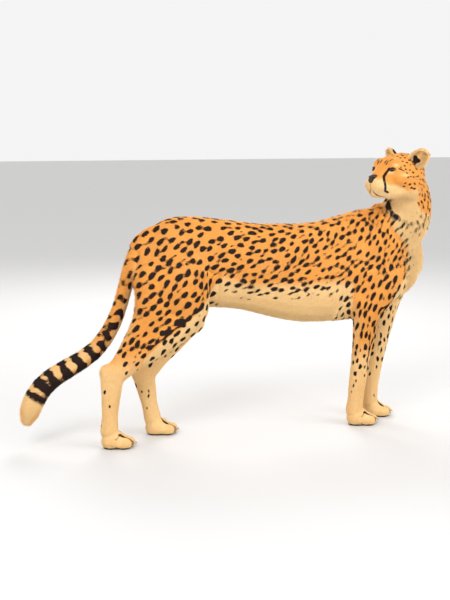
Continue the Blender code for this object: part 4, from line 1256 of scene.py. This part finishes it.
# %% [markdown]
# ## Eyes, nose, claws and whiskers
# These stay apart from the skin. Each takes the place of the plain solid of the packed
# model, at the same spot and in the same size.

# %% Eyeballs with a cornea
def away_from(axis, points):
    """Degrees between the axis and each point, seen from the origin."""
    return np.degrees(np.arccos(np.clip(unit(points) @ unit(np.array(axis)), -1, 1)))


eyes = []
LOOK = (0.83, 0.55, 0.02)
for name, side in SIDES.items():
    nothing_selected()
    centre = middle_of("eye_" + name)
    look = Vector(np.array(HEAD.to_3x3()) / HEAD_SCALE @ np.array((LOOK[0], LOOK[1] * side, LOOK[2])))
    bpy.ops.mesh.primitive_uv_sphere_add(segments=64, ring_count=72, radius=EYE_RADIUS)
    eye = bpy.context.object
    eye.name = eye.data.name = "eyeball_" + name
    points = points_of(eye)
    angle = away_from((0, 0, 1), points)
    points *= (1 + 0.045 * (1 - np.clip(angle / 42, 0, 1) ** 2))[:, None]
    made = eye.data.attributes.new("from_look", "FLOAT", "POINT")
    made.data.foreach_set("value", angle.astype(np.float32))
    made = eye.data.attributes.new("round_look", "FLOAT", "POINT")
    made.data.foreach_set("value", (np.arctan2(points[:, 1], points[:, 0])).astype(np.float32))
    turn = np.array(look.to_track_quat("Z", "Y").to_matrix())
    move_points(eye, points @ turn.T + np.array(centre))
    eye.data.shade_smooth()
    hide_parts("eye_" + name)
    eyes.append(eye)
print("eyeballs:", [obj.name for obj in eyes])

# %% Nose leather with nostrils
nose = copy_of("nose")
nose.name = nose.data.name = "nose_leather"
apply_modifier(nose, "close cuts", "DISPLACE", strength=0.0004, mid_level=0.0)
apply_modifier(nose, "melt", "REMESH", mode="VOXEL", voxel_size=0.0008)
apply_modifier(nose, "soften", "SMOOTH", factor=0.5, iterations=70)
points, normals = points_of(nose), normals_of(nose)
local = on_head(points)
nostril = np.hypot((np.abs(local[:, 1]) - 0.0095) / 0.0052, (local[:, 2] + 0.0195) / 0.0034)
slit = np.hypot((np.abs(local[:, 1]) - 0.0135) / 0.0040, (local[:, 2] + 0.0225 - 0.5 * (
    np.abs(local[:, 1]) - 0.0135)) / 0.0016)
front = ramp(local[:, 0], 0.116, 0.124)
sink = 0.0055 * np.exp(-nostril ** 2.5) + 0.0022 * np.exp(-slit ** 2)
sink += 0.0012 * np.exp(-(local[:, 1] / 0.0012) ** 2) * ramp(-local[:, 2], 0.012, 0.030)
sink -= 0.0010 * np.exp(-((nostril - 1.35) / 0.35) ** 2)
points = points + np.array(HEAD.to_3x3()) @ np.array((-0.0014, 0, 0))
move_points(nose, points - normals * (sink * front)[:, None])
nose.data.shade_smooth()
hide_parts("nose")
print("nose:", len(nose.data.polygons), "faces")

# %% One claw, then eighteen
def new_claw():
    """A curved, tapered claw one unit long, from its root at the origin along X, bent down."""
    nothing_selected()
    bpy.ops.curve.primitive_bezier_curve_add()
    curve = bpy.context.object
    curve.data.dimensions = "3D"
    curve.data.bevel_depth = 0.30
    curve.data.bevel_resolution = 4
    curve.data.resolution_u = 8
    curve.data.use_fill_caps = True
    start, end = curve.data.splines[0].bezier_points
    start.co, start.handle_left, start.handle_right = (0, 0, 0), (-0.3, 0, -0.05), (0.38, 0, 0.20)
    end.co, end.handle_left, end.handle_right = (1.0, 0, -0.10), (0.82, 0, 0.22), (1.1, 0, -0.3)
    start.radius, end.radius = 1.0, 0.06
    bpy.ops.object.convert(target="MESH")
    return bpy.context.object


CLAW_NODES = [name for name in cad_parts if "_claw_" in name]
claw = new_claw()
claws = []
for node in CLAW_NODES:
    corners_of_claw = points_of(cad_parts[node])
    middle = corners_of_claw.mean(axis=0)
    axis = np.linalg.svd(corners_of_claw - middle)[2][0]
    axis = axis if axis[0] > 0 else -axis
    if node.endswith("_5"):
        axis = unit(np.array((0.42, 0.0, -0.90)))
    reach = (corners_of_claw - middle) @ axis
    ahead, behind = corners_of_claw[reach > reach.max() - 0.002], corners_of_claw[reach < reach.min() + 0.002]
    start, end = behind.mean(axis=0), ahead.mean(axis=0)
    long = reach.max() - reach.min()
    if node.endswith("_5"):
        # A dewclaw grows out of the skin.
        hit, root, facing, number = skin.closest_point_on_mesh(start.tolist())
        start = np.array(root) - 0.001 * np.array(facing)
    across = corners_of_claw - middle - np.outer(reach, axis)
    thick = np.percentile(np.linalg.norm(across, axis=1), 85)
    sideways = unit(np.cross((0, 0, 1), axis))
    upwards = np.cross(axis, sideways)
    shape = points_of(claw)
    made = bpy.data.objects.new(node.replace("claw", "horn_claw"), claw.data.copy())
    made.data.name = made.name
    bpy.context.scene.collection.objects.link(made)
    placed = (start - axis * 0.15 * long + np.outer(shape[:, 0], axis) * long * 1.12
              + np.outer(shape[:, 1], sideways) * thick * 1.9
              + np.outer(shape[:, 2], upwards) * thick * 3.0)
    placed[:, 2] = np.maximum(placed[:, 2], 0.0008)
    move_points(made, placed)
    made.data.shade_smooth()
    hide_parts(node)
    claws.append(made)
bpy.data.objects.remove(claw)
print("claws:", len(claws))

# %% Whiskers
def tube(path, radii, sides=5):
    """Rings of points round a path, closed to a point at its end."""
    heading = unit(np.gradient(path, axis=0))
    across = unit(np.cross(heading, (0.13, 0.21, 0.97)))
    upright = np.cross(heading, across)
    angle = np.arange(sides) / sides * 2 * math.pi
    ring = np.cos(angle)[None, :, None] * across[:, None] + np.sin(angle)[None, :, None] * upright[:, None]
    verts = (path[:, None] + ring * np.array(radii)[:, None, None]).reshape(-1, 3)
    faces = []
    for step in range(len(path) - 1):
        for turn in range(sides):
            a, b = step * sides + turn, step * sides + (turn + 1) % sides
            faces.append((a, b, b + sides, a + sides))
    faces.append(tuple(range(sides))[::-1])
    faces.append(tuple(range(len(verts) - sides, len(verts))))
    return verts, faces


axes = np.array(HEAD.to_3x3()) / HEAD_SCALE
hair_verts, hair_faces, total = [], [], 0
random = np.random.default_rng(21)
skin_points = points_of(skin)
for name, side in SIDES.items():
    rows = [((0.114 - 0.007 * step, (0.015 + 0.0042 * step) * side, -0.034 - 0.0065 * row - 0.0008 * step), row, step)
            for row in range(4) for step in range(4 if row else 3)]
    rows += [((0.070, 0.030 * side, 0.040), -3, 0), ((0.064, 0.034 * side, 0.043), -3, 1)]
    for spot, row, step in rows:
        start = np.array(HEAD @ Vector(spot))
        start = skin_points[np.argmin(np.linalg.norm(skin_points - start, axis=1))]
        away = unit(np.array((0.05 - 0.25 * step, 0.8 * side, 0.10 - 0.22 * row)) + random.normal(0, 0.05, 3))
        away = axes @ away
        reach = random.uniform(0.030, 0.046) * (0.7 if row < 0 else 1)
        share = np.linspace(0, 1, 9)
        droop = np.outer(share ** 2, (0, 0, -0.22)) - np.outer(share ** 2, axes @ (0.28, 0, 0))
        path = start + (np.outer(share, away) + droop) * reach - away * 0.001
        while path[:, 1].min() < cad_box[0][1] - 0.004:
            path = start + (path - start) * 0.9
        verts, faces = tube(path, 0.00030 * (1 - 0.86 * share))
        hair_verts.append(verts)
        hair_faces += [tuple(number + total for number in face) for face in faces]
        total += len(verts)
mesh = bpy.data.meshes.new("whiskers")
mesh.from_pydata(np.concatenate(hair_verts), [], hair_faces)
whiskers = bpy.data.objects.new("whiskers", mesh)
bpy.context.scene.collection.objects.link(whiskers)
mesh.shade_smooth()
print("whiskers:", len(hair_verts))

# %% [markdown]
# ## Materials
# One group of nodes mixes the coat's colours from the values that skin and tufts carry:
# orange or cream ground, near-black marks with a slightly ragged edge, paler tips, and a
# small difference from tuft to tuft. The skin uses it too, with a fine grain of hair.

# %% The colours of the coat
ORANGE, CREAM, DARK = (0.900, 0.345, 0.050, 1), (0.955, 0.620, 0.270, 1), (0.020, 0.0075, 0.0045, 1)


def new_material(name):
    made = bpy.data.materials.new(name)
    made.use_nodes = True
    nodes = made.node_tree.nodes
    return made, nodes, made.node_tree.links, nodes["Principled BSDF"]


def coat_group():
    """Values in, colour and height out."""
    group = bpy.data.node_groups.new("coat_colour", "ShaderNodeTree")
    for title in ("tone", "mark", "chance", "along"):
        group.interface.new_socket(title, in_out="INPUT", socket_type="NodeSocketFloat")
    group.interface.new_socket("colour", in_out="OUTPUT", socket_type="NodeSocketColor")
    group.interface.new_socket("height", in_out="OUTPUT", socket_type="NodeSocketFloat")
    nodes, links = group.nodes, group.links
    given, result = nodes.new("NodeGroupInput"), nodes.new("NodeGroupOutput")

    def math_node(operation, a, b=None, c=None):
        made = nodes.new("ShaderNodeMath")
        made.operation = operation
        for socket, value in zip(made.inputs, (a, b, c)):
            if isinstance(value, (int, float)):
                socket.default_value = value
            elif value is not None:
                links.new(value, socket)
        return made.outputs[0]

    def mixed(factor, a, b, blend="MIX"):
        made = nodes.new("ShaderNodeMix")
        made.data_type, made.blend_type = "RGBA", blend
        for socket, value in ((made.inputs[0], factor), (made.inputs[6], a), (made.inputs[7], b)):
            if isinstance(value, (int, float, tuple)):
                socket.default_value = value
            else:
                links.new(value, socket)
        return made.outputs[2]

    place = nodes.new("ShaderNodeTexCoord")
    patchy, grain = nodes.new("ShaderNodeTexNoise"), nodes.new("ShaderNodeTexNoise")
    patchy.inputs["Scale"].default_value, patchy.inputs["Detail"].default_value = 9.0, 2.0
    grain.inputs["Scale"].default_value, grain.inputs["Detail"].default_value = 420.0, 2.0
    for node in (patchy, grain):
        links.new(place.outputs["Object"], node.inputs["Vector"])
    uneven = math_node("MULTIPLY_ADD", patchy.outputs[0], 0.30, -0.15)
    tone = math_node("ADD", given.outputs["tone"], uneven)
    tone = math_node("MINIMUM", math_node("MAXIMUM", tone, 0.0), 1.0)
    ground = mixed(tone, ORANGE, CREAM)
    tips = mixed(math_node("MULTIPLY", given.outputs["along"], 0.16), ground, (0.95, 0.66, 0.34, 1))
    shade = math_node("MULTIPLY_ADD", given.outputs["chance"], 0.22, 0.89)
    shaded = mixed(1.0, tips, nodes_value(nodes, links, shade), "MULTIPLY")
    ragged = math_node("MULTIPLY_ADD", given.outputs["chance"], 1.2, -0.6)
    edge = math_node("ADD", given.outputs["mark"], ragged)
    inside = math_node("MINIMUM", math_node("MAXIMUM", math_node("MULTIPLY_ADD", edge, 0.8, 0.5), 0.0), 1.0)
    colour = mixed(inside, shaded, DARK)
    links.new(colour, result.inputs["colour"])
    links.new(grain.outputs[0], result.inputs["height"])
    return group


def nodes_value(nodes, links, value):
    made = nodes.new("ShaderNodeCombineColor")
    for socket in made.inputs:
        links.new(value, socket)
    return made.outputs[0]


COAT_COLOUR = coat_group()


def coat_material(name, roughness, bump):
    made, nodes, links, shader = new_material(name)
    group = nodes.new("ShaderNodeGroup")
    group.node_tree = COAT_COLOUR
    for title in ("tone", "mark", "chance", "along"):
        reader = nodes.new("ShaderNodeAttribute")
        reader.attribute_name = title
        links.new(reader.outputs["Fac"], group.inputs[title])
    links.new(group.outputs["colour"], shader.inputs["Base Color"])
    shader.inputs["Roughness"].default_value = roughness
    shader.inputs["Specular IOR Level"].default_value = 0.25
    if bump:
        node = nodes.new("ShaderNodeBump")
        node.inputs["Strength"].default_value, node.inputs["Distance"].default_value = bump, 0.001
        links.new(group.outputs["height"], node.inputs["Height"])
        links.new(node.outputs["Normal"], shader.inputs["Normal"])
    return made


skin.data.materials.append(coat_material("short_hair", 0.80, 0.6))
tuft_material = coat_material("tufts", 0.72, 0)
for piece in coat:
    piece.data.materials.append(tuft_material)

# %% Eyes, nose, claws, whiskers
def banded(nodes, links, source, stops):
    """A colour for each value of the source, in its own units up to 90."""
    scaled = nodes.new("ShaderNodeMath")
    scaled.operation = "DIVIDE"
    scaled.inputs[1].default_value = 90.0
    links.new(source, scaled.inputs[0])
    made = nodes.new("ShaderNodeValToRGB")
    made.color_ramp.interpolation = "LINEAR"
    while len(made.color_ramp.elements) < len(stops):
        made.color_ramp.elements.new(0.5)
    for element, (position, colour) in zip(made.color_ramp.elements, stops):
        element.position, element.color = position / 90.0, (*colour, 1)
    links.new(scaled.outputs[0], made.inputs[0])
    return made.outputs[0]


eye_material, nodes, links, shader = new_material("eye_amber")
reader = nodes.new("ShaderNodeAttribute")
reader.attribute_name = "from_look"
iris = banded(nodes, links, reader.outputs["Fac"], (
    (0, (0.001, 0.001, 0.001)), (12.0, (0.001, 0.001, 0.001)), (13.5, (0.16, 0.065, 0.010)),
    (21, (0.30, 0.135, 0.020)), (28, (0.17, 0.068, 0.010)), (31, (0.006, 0.003, 0.002)),
    (60, (0.016, 0.009, 0.006)), (90, (0.03, 0.016, 0.010))))
links.new(iris, shader.inputs["Base Color"])
shader.inputs["Roughness"].default_value = 0.30
shader.inputs["Specular IOR Level"].default_value = 0.0
shader.inputs["Coat Weight"].default_value = 0.8
shader.inputs["Coat Roughness"].default_value = 0.03
for eye in eyes:
    eye.data.materials.append(eye_material)

nose_material, nodes, links, shader = new_material("nose_leather")
place, cells, bump = nodes.new("ShaderNodeTexCoord"), nodes.new("ShaderNodeTexVoronoi"), nodes.new("ShaderNodeBump")
cells.inputs["Scale"].default_value = 900.0
bump.inputs["Strength"].default_value, bump.inputs["Distance"].default_value = 0.5, 0.0004
links.new(place.outputs["Object"], cells.inputs["Vector"])
links.new(cells.outputs["Distance"], bump.inputs["Height"])
links.new(bump.outputs["Normal"], shader.inputs["Normal"])
shader.inputs["Base Color"].default_value = (0.026, 0.012, 0.009, 1)
shader.inputs["Roughness"].default_value = 0.38
nose.data.materials.append(nose_material)

claw_material, nodes, links, shader = new_material("claw_horn")
shader.inputs["Base Color"].default_value = (0.050, 0.030, 0.020, 1)
shader.inputs["Roughness"].default_value = 0.35
for claw_piece in claws:
    claw_piece.data.materials.append(claw_material)

whisker_material, nodes, links, shader = new_material("whisker_white")
shader.inputs["Base Color"].default_value = (0.90, 0.86, 0.78, 1)
shader.inputs["Roughness"].default_value = 0.4
whiskers.data.materials.append(whisker_material)

# %% Tie the pieces to the frame
FLESH_NODES = [name for name in FLESH]
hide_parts(*FLESH_NODES)
for piece in (skin, *coat, *eyes, nose, *claws, whiskers):
    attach(piece, "root")
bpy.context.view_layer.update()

# %% [markdown]
# ## A plain studio
# A pale floor, soft light from the upper left of the camera, a weaker fill and a light
# from behind that draws the outline of the back.

# %% Floor, light and camera
nothing_selected()
bpy.ops.mesh.primitive_plane_add(size=60)
floor = bpy.context.object
floor.name = "floor"
floor_material, nodes, links, shader = new_material("floor_pale")
shader.inputs["Base Color"].default_value = (0.66, 0.655, 0.65, 1)
shader.inputs["Roughness"].default_value = 0.9
floor.data.materials.append(floor_material)

world = bpy.data.worlds.new("studio")
bpy.context.scene.world = world
world.use_nodes = True
world.node_tree.nodes["Background"].inputs[0].default_value = (1, 1, 1, 1)
world.node_tree.nodes["Background"].inputs[1].default_value = 0.91
for name, place, power, size in (("key", (-2.6, -3.2, 3.4), 118, 2.2), ("fill", (2.8, -2.6, 1.8), 74, 2.5),
                                 ("rim", (0.6, 3.0, 3.0), 70, 2.0)):
    bpy.ops.object.light_add(type="AREA", location=place)
    light = bpy.context.object
    light.name = name
    light.data.energy, light.data.size = power, size
    light.rotation_euler = (Vector((0, 0, 0.5)) - Vector(place)).to_track_quat("-Z", "Y").to_euler()

bpy.ops.object.camera_add()
camera = bpy.context.object
camera.name = "camera"
forward = Vector((0.2827, 0.9452, -0.1633)).normalized()
sideways = forward.cross(Vector((0, 0, 1))).normalized()
upwards = sideways.cross(forward)
camera.matrix_world = Matrix.Translation(Vector((-1.193, -3.671, 1.12)) + SHIFT) @ Matrix(
    (sideways, upwards, -forward)).transposed().to_4x4()
camera.data.sensor_fit = "VERTICAL"
camera.data.sensor_height = 36
camera.data.lens = 1061 / 600 * 36
camera.data.clip_start, camera.data.clip_end = 0.05, 60
bpy.context.scene.camera = camera
bpy.context.scene.view_settings.view_transform = "Standard"
